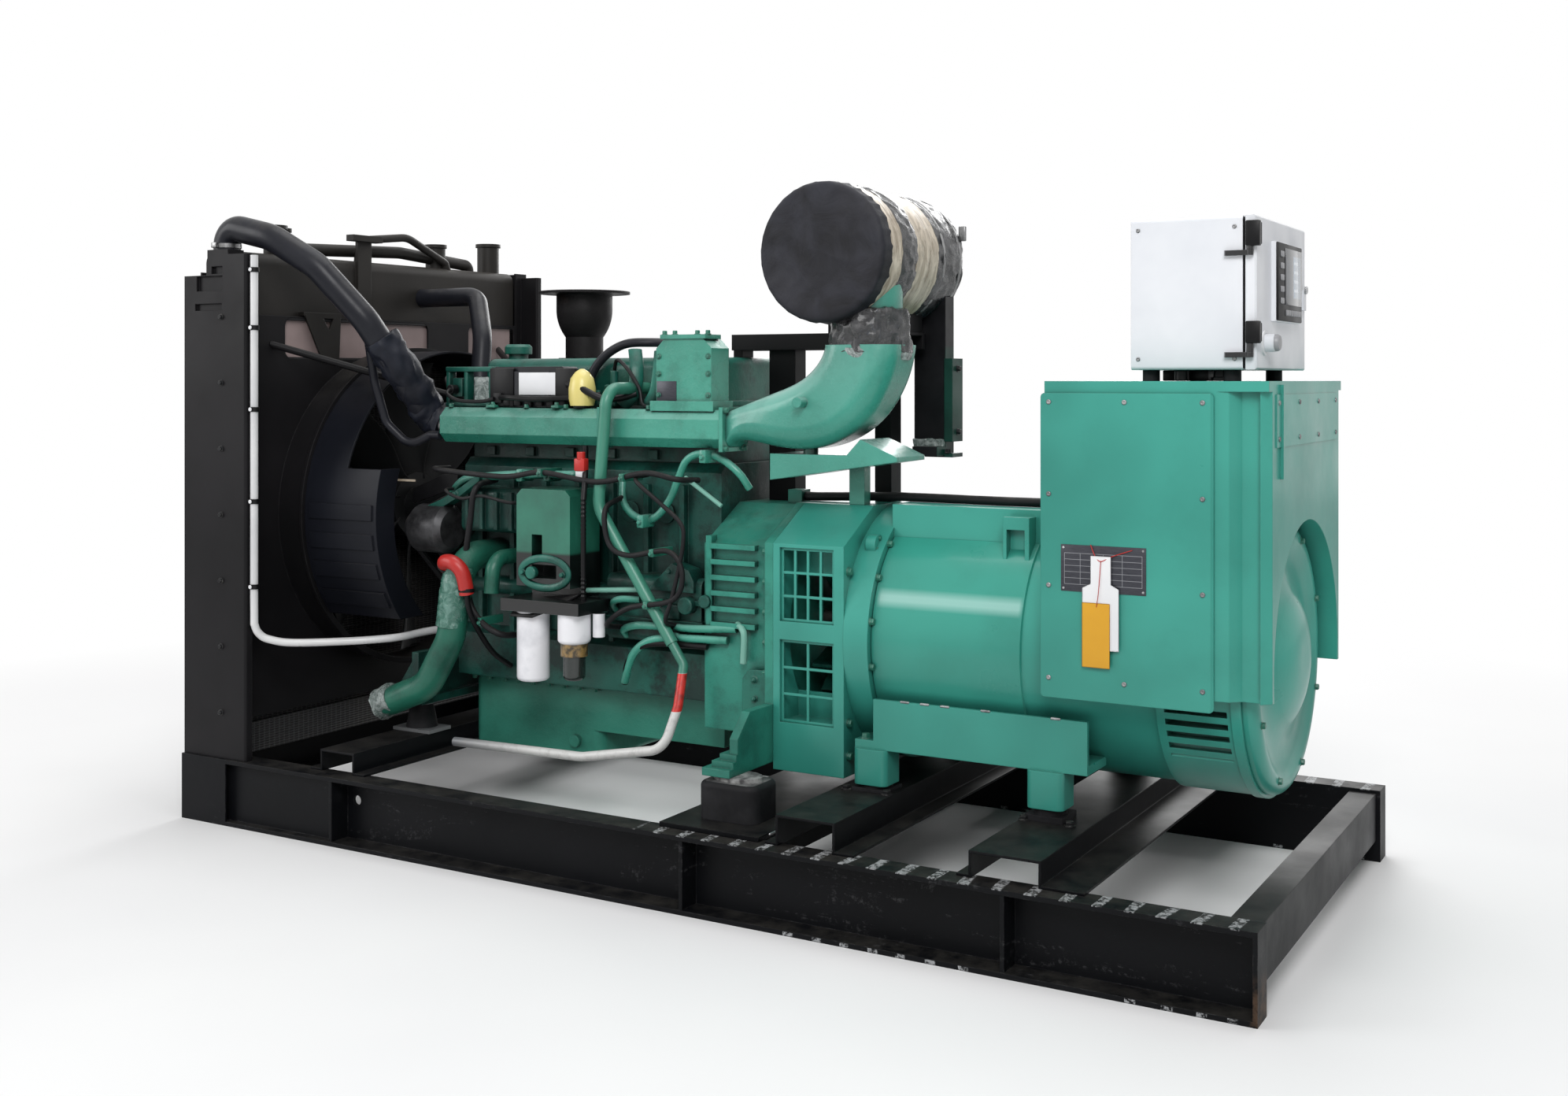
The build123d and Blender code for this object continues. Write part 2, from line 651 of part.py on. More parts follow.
for side in (-1, 1):
    arm_y = mount_block_y + 50
    housing += block(flywheel_x - 78, flywheel_x + 4, side * 250, side * arm_y, foot_low, foot_low + 20)
    housing += block(flywheel_x - 60, flywheel_x + 4, side * 250, side * (arm_y - 18), foot_low + 20,
                     foot_low + 36)
    housing += block(flywheel_x - 46, flywheel_x + 4, side * 250, side * (arm_y - 34), foot_low + 36,
                     foot_low + 52)
    housing += block(flywheel_x - 50, housing_rear, side * 250, side * (adapter_half_width - 12), foot_low,
                     housing_low + 120)
    web = block(flywheel_x - 20, flywheel_x + 4, side * 300, side * (arm_y - 40), foot_low + 50,
                housing_low + 90)
    top_edges = web.edges().filter_by(Axis.X).group_by(Axis.Z)[-1].sort_by(Axis.Y)
    housing += chamfer(top_edges[0 if side < 0 else -1], 60)
save("flywheel_housing", housing)

# Drive-end adapter: a hollow housing with two windows on each side, screens and the cooling fan
adapter = bell(housing_rear, adapter_length, adapter_half_width, adapter_bottom, adapter_top, 170)
adapter -= rod((housing_rear - 1, 0, shaft_height), (adapter_rear - 12, 0, shaft_height), adapter_bore)
window_x = (housing_rear + 20, adapter_rear - 30)
windows = ((shaft_height - 222, shaft_height - 6), (shaft_height + 42, shaft_height + 235))
window_depth = adapter_half_width - 100
for side in (-1, 1):
    for low, high in windows:
        adapter -= block(*window_x, side * window_depth, side * (adapter_half_width + 1), low, high)
save("drive_adapter", adapter)

# Screens in the windows: bars round rows and columns of openings
screens = []
bar = 7
screen_y = adapter_half_width - adapter_wall
for side in (-1, 1):
    y0, y1 = side * screen_y, side * (screen_y + sheet)
    for (low, high), columns, rows in zip(windows, (2, 4), (3, 3)):
        x0, x1 = window_x[0] + seat, window_x[1] - seat
        screen = block(x0, x1, y0, y1, low + seat, high - seat)
        cell_x = (x1 - x0 - bar) / columns
        cell_z = (high - low - 2 * seat - bar) / rows
        for i in range(columns):
            for j in range(rows):
                x = x0 + bar + i * cell_x
                z = low + seat + bar + j * cell_z
                screen -= block(x, x + cell_x - bar, y0 - side * 5, y1 + side * 5, z, z + cell_z - bar)
        screens.append(screen)
save("adapter_screens", *screens)

# Shaft through the adapter, with the cooling fan's disc and vanes round it
shaft = rod((housing_rear + seat, 0, shaft_height), (adapter_rear - 12 - seat, 0, shaft_height), shaft_radius)
save("drive_shaft", shaft)
wheel_x = (housing_rear + 50, adapter_rear - 70)
wheel_bore = shaft_radius + seat
wheel = rod((wheel_x[1] - 12, 0, shaft_height), (wheel_x[1], 0, shaft_height), cooling_fan_radius)
vane = block(*wheel_x, -5, 5, shaft_radius + 20, cooling_fan_radius - 6)
for i in range(vane_count):
    wheel += Pos(0, 0, shaft_height) * Rot(i * 360 / vane_count, 0, 0) * vane
wheel -= rod((wheel_x[0] - 1, 0, shaft_height), (wheel_x[1] + 1, 0, shaft_height), wheel_bore)
save("cooling_fan", wheel)

# Stator frame: flange ring, barrel, raised top, feet and the bracket beside the terminal box
stator = rod((adapter_rear, 0, shaft_height), (ring_rear, 0, shaft_height), stator_radius + 25)
stator += rod((ring_rear, 0, shaft_height), (stator_rear, 0, shaft_height), stator_radius)
raised_half = 190
raised_top = adapter_top + 8
stator += block(ring_rear - 5, stator_rear, -raised_half, raised_half, shaft_height + 200, raised_top)
for i in range(5):
    x = ring_rear + 50 + i * 84
    stator += rod((x, 0, shaft_height), (x + 10, 0, shaft_height), stator_radius + 5)
foot_y = mount_y + 35
foot_half = mount_radius - 1
foot_x = (ring_rear - 40, stator_rear - 160)
for side in (-1, 1):
    stator += block(*foot_x, side * 200, side * foot_y, foot_rail_z, foot_rail_z + foot_thickness)
    stator += block(foot_x[0] + 52, foot_x[1], side * (foot_y - 12), side * foot_y, foot_rail_z,
                    foot_rail_z + 128)
    for x in (middle_x, rear_x):
        foot = block(x - foot_half, x + foot_half, side * (mount_y - foot_half), side * (mount_y + foot_half),
                     pad_top, foot_rail_z + 1)
        stator += fillet(foot.edges().filter_by(Axis.Z), 18)
hook_x = ring_rear - 35
hook_y, hook_z = 235, shaft_height + 245
for side in (-1, 1):
    stator += rod((hook_x - 14, side * hook_y, hook_z), (hook_x + 14, side * hook_y, hook_z), 26)
box_side = raised_half + seat
pocket_x = (box_x - 166, box_x - 96)
pocket_depth = 45
stator += block(*pocket_x, -raised_half - pocket_depth, -raised_half + 2, raised_top - 217, raised_top - 17)
stator -= block(pocket_x[0] + 10, pocket_x[1] - 12, -raised_half - pocket_depth - 1, -raised_half - 20,
                raised_top - 203, raised_top - 48)
save("stator_frame", stator)

# End bracket with louvres, and the dished end cover
bracket_radius = stator_radius + 12
end_bracket = rod((stator_rear, 0, shaft_height), (bracket_rear, 0, shaft_height), bracket_radius)
end_bracket += rod((bracket_rear - 24, 0, shaft_height), (bracket_rear, 0, shaft_height), bracket_radius + 5)
louvre = 14
for i in range(5):
    z = shaft_height - 217 + i * 30
    for side in (-1, 1):
        end_bracket -= block(stator_rear + 20, bracket_rear - 34, side * 400, side * (bracket_radius - 75), z,
                             z + louvre)
save("end_bracket", end_bracket)
dome = bracket_rear + end_cover_length
rim_radius = bracket_radius - 4
outline = Polyline((bracket_rear, 0), (bracket_rear, rim_radius), (bracket_rear + 12, rim_radius))
outline += ThreePointArc((bracket_rear + 12, rim_radius), (bracket_rear + 30, rim_radius - 14),
                         (bracket_rear + 33, rim_radius - 42))
outline += ThreePointArc((bracket_rear + 33, rim_radius - 42), (bracket_rear + 18, rim_radius * 0.62),
                         (bracket_rear + 40, rim_radius * 0.46))
outline += ThreePointArc((bracket_rear + 40, rim_radius * 0.46), (dome - 8, rim_radius * 0.3),
                         (dome, rim_radius * 0.12))
outline += Polyline((dome, rim_radius * 0.12), (dome, 0), (bracket_rear, 0))
dish = Plane.XZ * Pos(0, shaft_height) * make_face(outline)
save("end_cover", revolve(dish, Axis((0, 0, shaft_height), (1, 0, 0))))

# Terminal box astride the stator: folded corners, a top lip and the side cover
box_bottom = shaft_height - box_drop
box_top = box_bottom + box_height
fold = 30
notch = 26
box_outline = [(box_x, -box_half_width), (box_rear - 118, -box_half_width),
               (box_rear - 90, -box_half_width + 4),
               (box_rear - 66, -box_half_width + notch), (box_rear - 22, -box_half_width + notch),
               (box_rear - 22, -box_half_width + 8), (box_rear, -box_half_width + fold), (box_rear, 0)]
far_side = [(x, -y) for x, y in reversed(box_outline[:-1])]
outline_face = make_face(Plane.XY.offset(box_bottom) * Polyline(*box_outline[:-1], *far_side, close=True))
terminal_box = extrude(outline_face, box_height - 22, dir=(0, 0, 1))
terminal_box += block(box_x, box_rear, -box_half_width, box_half_width, box_top - 24, box_top)
terminal_box += block(box_rear - 1, box_rear + 3, -box_half_width + 60, box_half_width - 60, box_top - 150,
                      box_top - 30)
terminal_box += block(box_rear - 1, box_rear + 8, -box_half_width + 100, -box_half_width + 108, box_top - 222,
                      box_top - 8)
saddle = bracket_radius + 5 + seat
barrel_clear = stator_radius + 5 + seat
terminal_box -= rod((box_x - 1, 0, shaft_height), (stator_rear + 1, 0, shaft_height), barrel_clear)
terminal_box -= rod((stator_rear, 0, shaft_height), (box_rear + 5, 0, shaft_height), saddle)
terminal_box -= block(box_x - 1, stator_rear + seat, -box_side, box_side, shaft_height, raised_top + seat)
save("terminal_box", terminal_box)
lid_rear = box_rear - 122
lid = block(box_x - 6, lid_rear, -box_half_width - 10, -box_half_width, box_bottom + 16, box_top - 28)
lid += block(box_x - 6, lid_rear, -box_half_width - 10, -box_half_width, box_bottom - 26, box_bottom + 17)
lid = chamfer(lid.edges().filter_by(Axis.Z).group_by(Axis.X)[-1].sort_by(Axis.Y)[0], 6)
lid = fillet(lid.edges().filter_by(Axis.Y), 10)
save("terminal_cover", lid)

# Control cabinet on rubber feet, open at the front behind its door
cabinet_low = box_top + cabinet_lift
cabinet_top = cabinet_low + cabinet_height
cabinet_x = box_x + cabinet_setback
cabinet_front = cabinet_x + cabinet_depth
cabinet_far_y = cabinet_y + cabinet_width
cabinet = block(cabinet_x, cabinet_front, cabinet_y, cabinet_far_y, cabinet_low, cabinet_top)
cabinet = fillet(cabinet.edges().filter_by(Axis.X), 8)
cabinet -= block(cabinet_x + cabinet_wall, cabinet_front + 1, cabinet_y + cabinet_wall,
                 cabinet_far_y - cabinet_wall, cabinet_low + cabinet_wall, cabinet_top - cabinet_wall)
cabinet += block(cabinet_x + cabinet_wall - 1, cabinet_x + 9, cabinet_y + 40, cabinet_far_y - 40,
                 cabinet_low + 40, cabinet_top - 40)
pin_x = cabinet_front + door_gap + door_thickness / 2
pin_y = cabinet_y - 9
knuckle_places = (cabinet_low + 40, cabinet_top - 80)
leaf = 3
for z in knuckle_places:
    cabinet += rod((pin_x, pin_y, z), (pin_x, pin_y, z + 40), hinge_pin)
    cabinet += rod((pin_x, pin_y, z - 12), (pin_x, pin_y, z), hinge_knuckle)
    cabinet += block(cabinet_front - 20, pin_x, pin_y - leaf, pin_y + leaf, z - 12, z)
    cabinet += block(cabinet_front - 40, cabinet_front - 14, pin_y - leaf, cabinet_y + 1, z - 12, z)
save("control_cabinet", cabinet)
door_front = cabinet_front + door_gap + door_thickness
door = block(cabinet_front + door_gap, door_front, cabinet_y, cabinet_far_y, cabinet_low, cabinet_top)
door = chamfer(door.faces().filter_by(Axis.X).sort_by(Axis.X)[-1].edges(), 4)
screen_y = (cabinet_y + 136, cabinet_y + 378)
bezel = block(door_front - 1, door_front + 12, *screen_y, cabinet_top - 238, cabinet_top - 50)
door += chamfer(bezel.faces().filter_by(Axis.X).sort_by(Axis.X)[-1].edges(), 3)
knob_y, knob_z = cabinet_y + 70, cabinet_low + 62
door += rod((door_front - 1, knob_y, knob_z), (door_front + 26, knob_y, knob_z), 21)
door += block(door_front - 1, door_front + 8, cabinet_far_y - 46, cabinet_far_y - 22, cabinet_low + 150,
              cabinet_low + 200)
for z in knuckle_places:
    door += rod((pin_x, pin_y, z + 0.5), (pin_x, pin_y, z + 32), hinge_knuckle)
    door += block(pin_x, pin_x + 5, pin_y, cabinet_y + 1, z + 0.5, z + 32)
    door -= rod((pin_x, pin_y, z - 1), (pin_x, pin_y, z + 41), hinge_pin + seat)
save("cabinet_door", door)
for x in (cabinet_x + 35, cabinet_front - 35):
    for y in (cabinet_y + 45, cabinet_far_y - 45):
        mounts.append(Pos(x, y, box_top + cabinet_lift / 2) * Cylinder(20, cabinet_lift))
save("rubber_mounts", *mounts)

# Intake manifold along the head: chamfered bar, end step, flange and the cover box
manifold_front = block_front + 39
manifold_rear = block_rear + 71
step_x = block_rear - 347
manifold = block(manifold_front, manifold_rear, manifold_y, -head_half_width - 12 - seat, manifold_bottom,
                 manifold_top)
manifold = chamfer(manifold.edges().filter_by(Axis.X).group_by(Axis.Y)[0], 26)
manifold = chamfer(manifold.faces().filter_by(Axis.X).sort_by(Axis.X)[0].edges(), 9)
manifold += block(head_front + 20, head_rear - 20, -head_half_width - 14, -head_half_width - seat,
                  manifold_bottom + 12, manifold_top - 20)
manifold += block(step_x, step_x + 10, manifold_y - 5, manifold_y + 60, manifold_bottom - 6, manifold_top + 5)
manifold_back = -head_half_width - 14
manifold += block(manifold_rear - 12, manifold_rear, manifold_y - 8, manifold_back, manifold_bottom - 8,
                  manifold_top + 8)
cover_box = block(block_rear - 167, block_rear + 14, manifold_y + 26, manifold_back, manifold_top - 10,
                  manifold_top + 198)
cover_box = chamfer(cover_box.edges().filter_by(Axis.Y).group_by(Axis.Z)[-1], 30)
manifold += cover_box
manifold += block(block_rear - 180, block_rear + 27, manifold_y + 14, manifold_back, manifold_top - 4,
                  manifold_top + 24)
manifold += block(block_rear - 150, block_rear - 2, manifold_y + 20, manifold_back - 16, manifold_top + 194,
                  manifold_top + 206)
save("intake_manifold", manifold)

# Swelling intake elbow lofted from the manifold's end, its support and the rubber collar above
elbow_y = manifold_y + 68
elbow_low = manifold_top - 17
bend_x = manifold_rear + 189
sections = [Plane(origin=(manifold_rear, elbow_y, (manifold_bottom + manifold_top) / 2), x_dir=(0, 1, 0),
                  z_dir=(1, 0, 0)) * RectangleRounded(118, manifold_height - 6, 24)]
elbow_slices = ((0, 168, 160), (30, 196, 190), (60, 206, 200), (90, elbow_mouth, elbow_mouth - 5))
for angle, height, width in elbow_slices:
    turn = math.radians(angle)
    centre = (bend_x + elbow_bend * math.sin(turn), elbow_y + angle * 0.6,
              elbow_low + elbow_bend * (1 - math.cos(turn)))
    sections.append(Plane(origin=centre, x_dir=(0, 1, 0), z_dir=(math.cos(turn), 0, math.sin(turn)))
                    * RectangleRounded(width, height, 60))
elbow = loft(Sketch() + sections)
mouth = (bend_x + elbow_bend, elbow_y + 54, elbow_low + elbow_bend)
boss_x = bend_x + 60
elbow += rod((boss_x, elbow_y - 112, elbow_low + 40), (boss_x, elbow_y, elbow_low + 40), 14)
support_top = manifold_bottom - 10
support_y = (elbow_y - 35, elbow_y + 130)
elbow += rod((bend_x + 40, elbow_y, support_top), (bend_x + 40, elbow_y, elbow_low), 20)
support = profile_plate(*support_y, (bend_x - 65, support_top), (bend_x - 65, support_top - 70),
                        (bend_x + 310, support_top - 14), (bend_x + 310, support_top - 2),
                        (bend_x + 205, support_top + 42), (bend_x + 165, support_top))
support += block(bend_x + 105, bend_x + 150, elbow_y + 95, elbow_y + 130, adapter_top + seat,
                 support_top - 20)
collar = rod((mouth[0], mouth[1], mouth[2] + seat), (mouth[0], mouth[1], cleaner_z), collar_radius)
for z in (mouth[2] + 12, mouth[2] + 40):
    collar += rod((mouth[0], mouth[1], z), (mouth[0], mouth[1], z + 12), collar_radius + 4)
collar -= rod((cleaner_x, cleaner_near_y - 50, cleaner_z), (cleaner_x, cleaner_far_y + 50, cleaner_z),
              cleaner_radius + seat)
save("intake_pipes", elbow, support, collar)

# Air cleaner across the set, with its end cover, clamp bands and hanging dust duct
cleaner = rod((cleaner_x, cleaner_near_y, cleaner_z), (cleaner_x, cleaner_far_y, cleaner_z), cleaner_radius)
cleaner = fillet(cleaner.edges().filter_by(GeomType.CIRCLE), 16)
cleaner += rod((cleaner_x, cleaner_near_y - 9, cleaner_z), (cleaner_x, cleaner_near_y + 5, cleaner_z),
               cleaner_radius - 42)
duct_x = cleaner_x + 60
duct_side = duct_x + dust_duct_length
cleaner += block(duct_x, duct_side, 95, 150, cleaner_z - 535, cleaner_z - 100)
cleaner += block(duct_x + 20, duct_side, 40, 96, cleaner_z - 540, cleaner_z - 515)
cleaner += block(duct_side - 1, duct_side + 24, 88, 157, cleaner_z - 502, cleaner_z - 272)
cleaner += block(duct_side - 60, duct_side + 24, 88, 157, cleaner_z - 545, cleaner_z - 534)
save("air_cleaner", cleaner)

# Bracket under the air cleaner: two bars, crossers, the cradle and its legs
platform_x = (cleaner_x - 445, cleaner_x + 108)
bar_y = 60
platform = block(*platform_x, -bar_y, -bar_y + 14, platform_top - 45, platform_top)
platform += block(*platform_x, bar_y - 14, bar_y, platform_top - 45, platform_top)
for x in (platform_x[0], cleaner_x - 300, cleaner_x - 90, platform_x[1] - 60):
    platform += block(x, x + 60, -bar_y, bar_y, platform_top - web_thickness, platform_top)
cradle = block(cleaner_x - 130, cleaner_x + 100, -bar_y, bar_y, platform_top - web_thickness,
               platform_top + 110)
cradle -= block(cleaner_x - 110, cleaner_x + 80, -bar_y - 1, bar_y + 1, platform_top, platform_top + 20)
platform += cradle
platform -= rod((cleaner_x, -2 * bar_y, cleaner_z), (cleaner_x, 2 * bar_y, cleaner_z), cleaner_radius + seat)
leg = 30
for x0, x1, low in ((housing_rear - 195, housing_rear - 110, adapter_top - 8),
                    (cleaner_x, cleaner_x + 50, adapter_top),
                    (cover_rear - 55, cover_rear - 25, cover_top)):
    platform += block(x0, x1, -leg, leg, low + seat, platform_top - web_thickness + 1)
save("air_cleaner_bracket", platform)

# Electronic control unit beside the rocker cover, on two arms
unit_x = (cover_front + 141, cover_front + 404)
unit_y = (manifold_y + 40, manifold_y + 105)
unit_low = manifold_top + 2
control_unit = block(*unit_x, *unit_y, unit_low, unit_low + 118)
control_unit = fillet(control_unit.edges().filter_by(Axis.Y), 12)
control_unit += block(unit_x[0] + 60, unit_x[1] - 50, unit_y[0] - 8, unit_y[0] + 2, unit_low + 26,
                      unit_low + 104)
arm_z = (unit_low + 50, unit_low + 80)
for x in (unit_x[0] + 30, unit_x[1] - 60):
    control_unit += block(x, x + 30, unit_y[1] - 2, -cover_half_width - 18 - seat, *arm_z)
    control_unit += block(x, x + 30, -cover_half_width - 20, -cover_half_width - seat, *arm_z)
save("control_unit", control_unit)

# Fuel module with an open front frame, spin-on filters and the water bowl
module_x = (block_front + 398, block_front + 588)
module_back = -block_half_width - 4 - gallery_radius - seat
module_face = manifold_y - 70
module_high = block_top - 75
filter_top = module_high - 337
module = block(*module_x, manifold_y, module_back, filter_top + 32, module_high)
frame_plate = block(*module_x, module_face, manifold_y + 1, filter_top + 62, module_high)
frame_plate -= block(module_x[0] + 55, module_x[0] + 92, module_face - 1, manifold_y - 18, module_high - 190,
                     module_high - 128)
frame_plate -= block(module_x[0] + 55, module_x[1] - 48, module_face - 1, manifold_y - 18, module_high - 250,
                     module_high - 212)
frame_plate = chamfer(frame_plate.edges().filter_by(Axis.Y).group_by(Axis.Z)[-1], 18)
module += frame_plate
filter_y = module_face - 15
filter_radius = 46
bowl_x = module_x[1] + 27
module += block(module_x[0], bowl_x + 55, filter_y - 55, manifold_y + 1, filter_top, filter_top + 34)
for x, length in ((module_x[0] + 73, 198), (bowl_x, 83)):
    can = Pos(x, filter_y, filter_top - length / 2) * Cylinder(filter_radius, length)
    module += fillet(can.edges().group_by(Axis.Z)[0], 12)
module += Pos(bowl_x, filter_y, filter_top - 100) * Cylinder(filter_radius * 0.82, 36)
bowl = Pos(bowl_x, filter_y, filter_top - 150) * Cylinder(filter_radius * 0.68, 72)
module += fillet(bowl.edges().group_by(Axis.Z)[0], 14)
module += Pos(bowl_x + 62, filter_y + 30, filter_top - 32) * Cylinder(17, 66)
save("fuel_filters", module)

# Exhaust side: log manifold with its ports, the turbocharger and the capped outlet
log_y = (head_half_width + 14 + seat, head_half_width + 100)
exhaust = block(side_front + 20, block_rear - 80, *log_y, block_top + 34, block_top + 116)
exhaust = fillet(exhaust.edges().filter_by(Axis.X), 26)
turbo_x = block_front + 110
turbo_y = head_half_width + 100
turbo_z = head_top + 50
stack = turbo_z + 96
exhaust += rod((turbo_x - 96, turbo_y, turbo_z), (turbo_x - 34, turbo_y, turbo_z), 92)
exhaust += rod((turbo_x - 40, turbo_y, turbo_z), (turbo_x + 40, turbo_y, turbo_z), 42)
exhaust += rod((turbo_x + 30, turbo_y, turbo_z), (turbo_x + 92, turbo_y, turbo_z), 84)
exhaust += rod((turbo_x - 120, turbo_y, turbo_z), (turbo_x - 90, turbo_y, turbo_z), 48)
exhaust += block(turbo_x + 24, turbo_x + 88, turbo_y - 50, turbo_y, block_top + 100, turbo_z)
exhaust += block(turbo_x - 60, turbo_x + 60, turbo_y - 60, turbo_y + 60, turbo_z + 30, stack - seat)
save("exhaust_manifold", exhaust)
cap_z = stack + 206
funnel = Polyline((0, stack), (62, stack), (62, stack + 68))
funnel += ThreePointArc((62, stack + 68), (84, stack + 110), (92, stack + 160))
funnel += Polyline((92, stack + 160), (92, cap_z), (150, cap_z + 4), (150, cap_z + 12), (0, cap_z + 18),
                   (0, stack))
outlet = revolve(Plane.XZ * make_face(funnel), Axis.Z)
save("exhaust_outlet", Pos(turbo_x, turbo_y, 0) * outlet)
starter_y = block_half_width + 100
starter_z = shaft_height - 80
starter_front = block_rear - 350
solenoid_y, solenoid_z = starter_y - 20, starter_z + 92
starter = rod((starter_front, starter_y, starter_z), (block_rear - seat, starter_y, starter_z), 55)
starter += rod((starter_front, starter_y, starter_z), (starter_front + 210, starter_y, starter_z), 68)
starter += rod((starter_front + 50, solenoid_y, solenoid_z), (starter_front + 190, solenoid_y, solenoid_z),
               30)
starter += block(starter_front + 70, starter_front + 170, starter_y - 35, starter_y, starter_z + 40,
                 starter_z + 90)
save("starter_motor", starter)

# White expansion pipe down the near post, then back to the engine
post_x = rad_rear + post_width / 2
pipe_y = -side_y + post_depth + 12
pipe_low = shaft_height - 95
pipe = tube([(post_x, pipe_y, radiator_height - 20), (post_x, pipe_y, pipe_low),
             (post_x + 45, pipe_y + 48, pipe_low - 20), (block_front - 115, -380, pipe_low - 10),
             (block_front - 70, coolant_inlet[0], pipe_low),
             (block_front - seat, coolant_inlet[0], pipe_low)], 11, [40, 60, 60, 30])
save("expansion_pipe", pipe)

# Black charge air hose from the top of the radiator down to the manifold, with its small branch
hose_x = rad_front + 80
hose_y = -core_half + 32
hose_radius = 40
hose_end = (manifold_front - seat, manifold_y + 65, manifold_bottom + 52)
hose = tube([(hose_x, hose_y, radiator_height + seat), (hose_x, hose_y, radiator_height + 80),
             (hose_x + 190, hose_y, radiator_height + 38), (hose_x + 330, hose_y + 45, radiator_height - 50),
             (block_front - 105, -480, head_top + 250), (block_front - 58, -400, head_top + 110),
             (block_front - 40, -320, head_top + 5), (hose_end[0] - 95, hose_end[1], hose_end[2]), hose_end],
            hose_radius, [50, 130, 130, 130, 80, 80, 45])
branch_end = (manifold_front - seat, manifold_y + 14, manifold_bottom + 20)
branch = tube([(block_front - 112, -470, head_top + 230), (block_front - 148, -400, head_top + 70),
               (block_front - 128, -372, head_top - 55), (block_front - 62, -340, manifold_bottom - 14),
               (branch_end[0] - 40, branch_end[1], branch_end[2]), branch_end], 13, [60, 60, 50, 25])
save("charge_air_hose", hose + branch)

# Top coolant hose from the thermostat housing to the top tank
hose_top = tube([(head_front - 74 - seat, 0, block_top + 80), (head_front - 160, 0, block_top + 80),
                 (head_front - 190, 60, head_top + 210), (head_front - 290, 150, tank_low + 80),
                 (tank_rear + seat, 150, tank_low + 80)], 31, [70, 110, 70])
save("top_hose", hose_top)

# Lower coolant pipe with an open end, and the short red hose elbow
coolant_x = block_front + 198
coolant_z = block_top - 280
coolant = tube([(coolant_x, -block_half_width - seat, coolant_z), (coolant_x, -400, coolant_z),
                (coolant_x - 28, -420, coolant_z - 240), (coolant_x - 108, -430, coolant_z - 380),
                (coolant_x - 278, -430, coolant_z - 450)], 42, [80, 120, 100], 34)
red_x = block_front + 305
red_elbow = tube([(red_x, -block_half_width - seat, coolant_z), (red_x, -390, coolant_z),
                  (red_x, -400, coolant_z - 100)], 22, [50], 16)
save("coolant_pipes", coolant, red_elbow)

# Breather pipe from the rocker cover, then its drain hose along the frame
breather_x = cover_rear - 261
breather_y = manifold_y - 35
breather_end = (block_rear - 72, breather_y, shaft_height - 40)
breather_knee = (breather_x - 29, breather_y, fan_z + 55)
breather_z = cover_top - 88
breather = tube([(breather_x, -cover_half_width - seat, breather_z), (breather_x, breather_y, breather_z),
                 breather_knee, breather_end], 17, [50, 80])
down = Vector(*breather_end) - Vector(*breather_knee)
start = Vector(*breather_end) + down.normalized() * seat
middle = start + down.normalized() * 65
drain = tube([(start.X, start.Y, start.Z), (middle.X, middle.Y, middle.Z),
              (block_rear - 30, breather_y - 35, 440),
              (block_rear - 50, breather_y - 75, 330), (block_rear - 320, breather_y - 75, 280),
              (block_front + 204, breather_y - 75, 272)], 13, [30, 60, 60, 120])
save("breather_line", breather, drain)

# Sensor harness from the terminal box over the alternator to the socket on the flywheel housing
harness_z = raised_top + harness_radius + seat
harness_y = -100
harness = tube([(box_x - seat, harness_y, harness_z), (box_x - 60, harness_y, harness_z),
                (box_x - 200, harness_y - 8, harness_z),
                (ring_rear - 30, harness_y + 14, harness_z),
                (adapter_rear - 60, harness_y + 18, harness_z - 3),
                (socket_x[1] + 40, socket_y, socket_z), (socket_x[1] + seat, socket_y, socket_z)],
               harness_radius, [200, 200, 200, 120, 60])
save("sensor_harness", harness)
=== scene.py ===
import bpy
import bmesh
import json
import math
from itertools import product
from mathutils import Matrix, Vector, noise


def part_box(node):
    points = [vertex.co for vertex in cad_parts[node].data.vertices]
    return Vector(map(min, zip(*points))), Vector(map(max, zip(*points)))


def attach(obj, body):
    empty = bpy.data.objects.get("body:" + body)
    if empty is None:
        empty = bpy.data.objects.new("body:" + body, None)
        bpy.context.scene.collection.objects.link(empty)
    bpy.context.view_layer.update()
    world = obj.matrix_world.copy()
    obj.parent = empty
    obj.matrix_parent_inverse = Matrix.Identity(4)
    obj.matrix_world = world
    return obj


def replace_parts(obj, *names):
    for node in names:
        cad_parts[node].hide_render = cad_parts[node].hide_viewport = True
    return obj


# A diesel generator set. Metres; +X runs from the radiator to the alternator, -Y is the near side, +Z is up.
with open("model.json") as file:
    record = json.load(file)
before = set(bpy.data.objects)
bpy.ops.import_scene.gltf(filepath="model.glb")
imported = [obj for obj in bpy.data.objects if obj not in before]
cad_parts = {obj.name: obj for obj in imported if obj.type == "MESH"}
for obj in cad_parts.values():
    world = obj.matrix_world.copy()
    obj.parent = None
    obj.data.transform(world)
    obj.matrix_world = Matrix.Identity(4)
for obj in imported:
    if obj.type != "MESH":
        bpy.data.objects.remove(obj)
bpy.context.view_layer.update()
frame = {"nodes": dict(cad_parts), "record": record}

# The photograph's frame and the fitted camera
IMAGE_WIDTH = 1992
IMAGE_HEIGHT = 1392
FOCAL_PX = 2083.8
HORIZON_PX = 482
CAMERA_AT = (2.4376, -4.0531, 1.3147)
CAMERA_YAW = 30.13
SENSOR = 36

# The ways that faces look
UP, DOWN, NEAR, REAR, FRONT = (0, 0, 1), (0, 0, -1), (0, -1, 0), (1, 0, 0), (-1, 0, 0)

# Places that several pieces share
SHAFT_Z = 0.64
BOX_SIDE_Y = -0.39
DOOR_X = 1.5096
CLEANER_AT = Vector((0.3916, 0, 1.645))
LINE_X, LINE_Y = -1.326, -0.668
CLIP_HEIGHTS = (0.70, 0.95, 1.22, 1.46, 1.63)

DUST = (128, 124, 116)


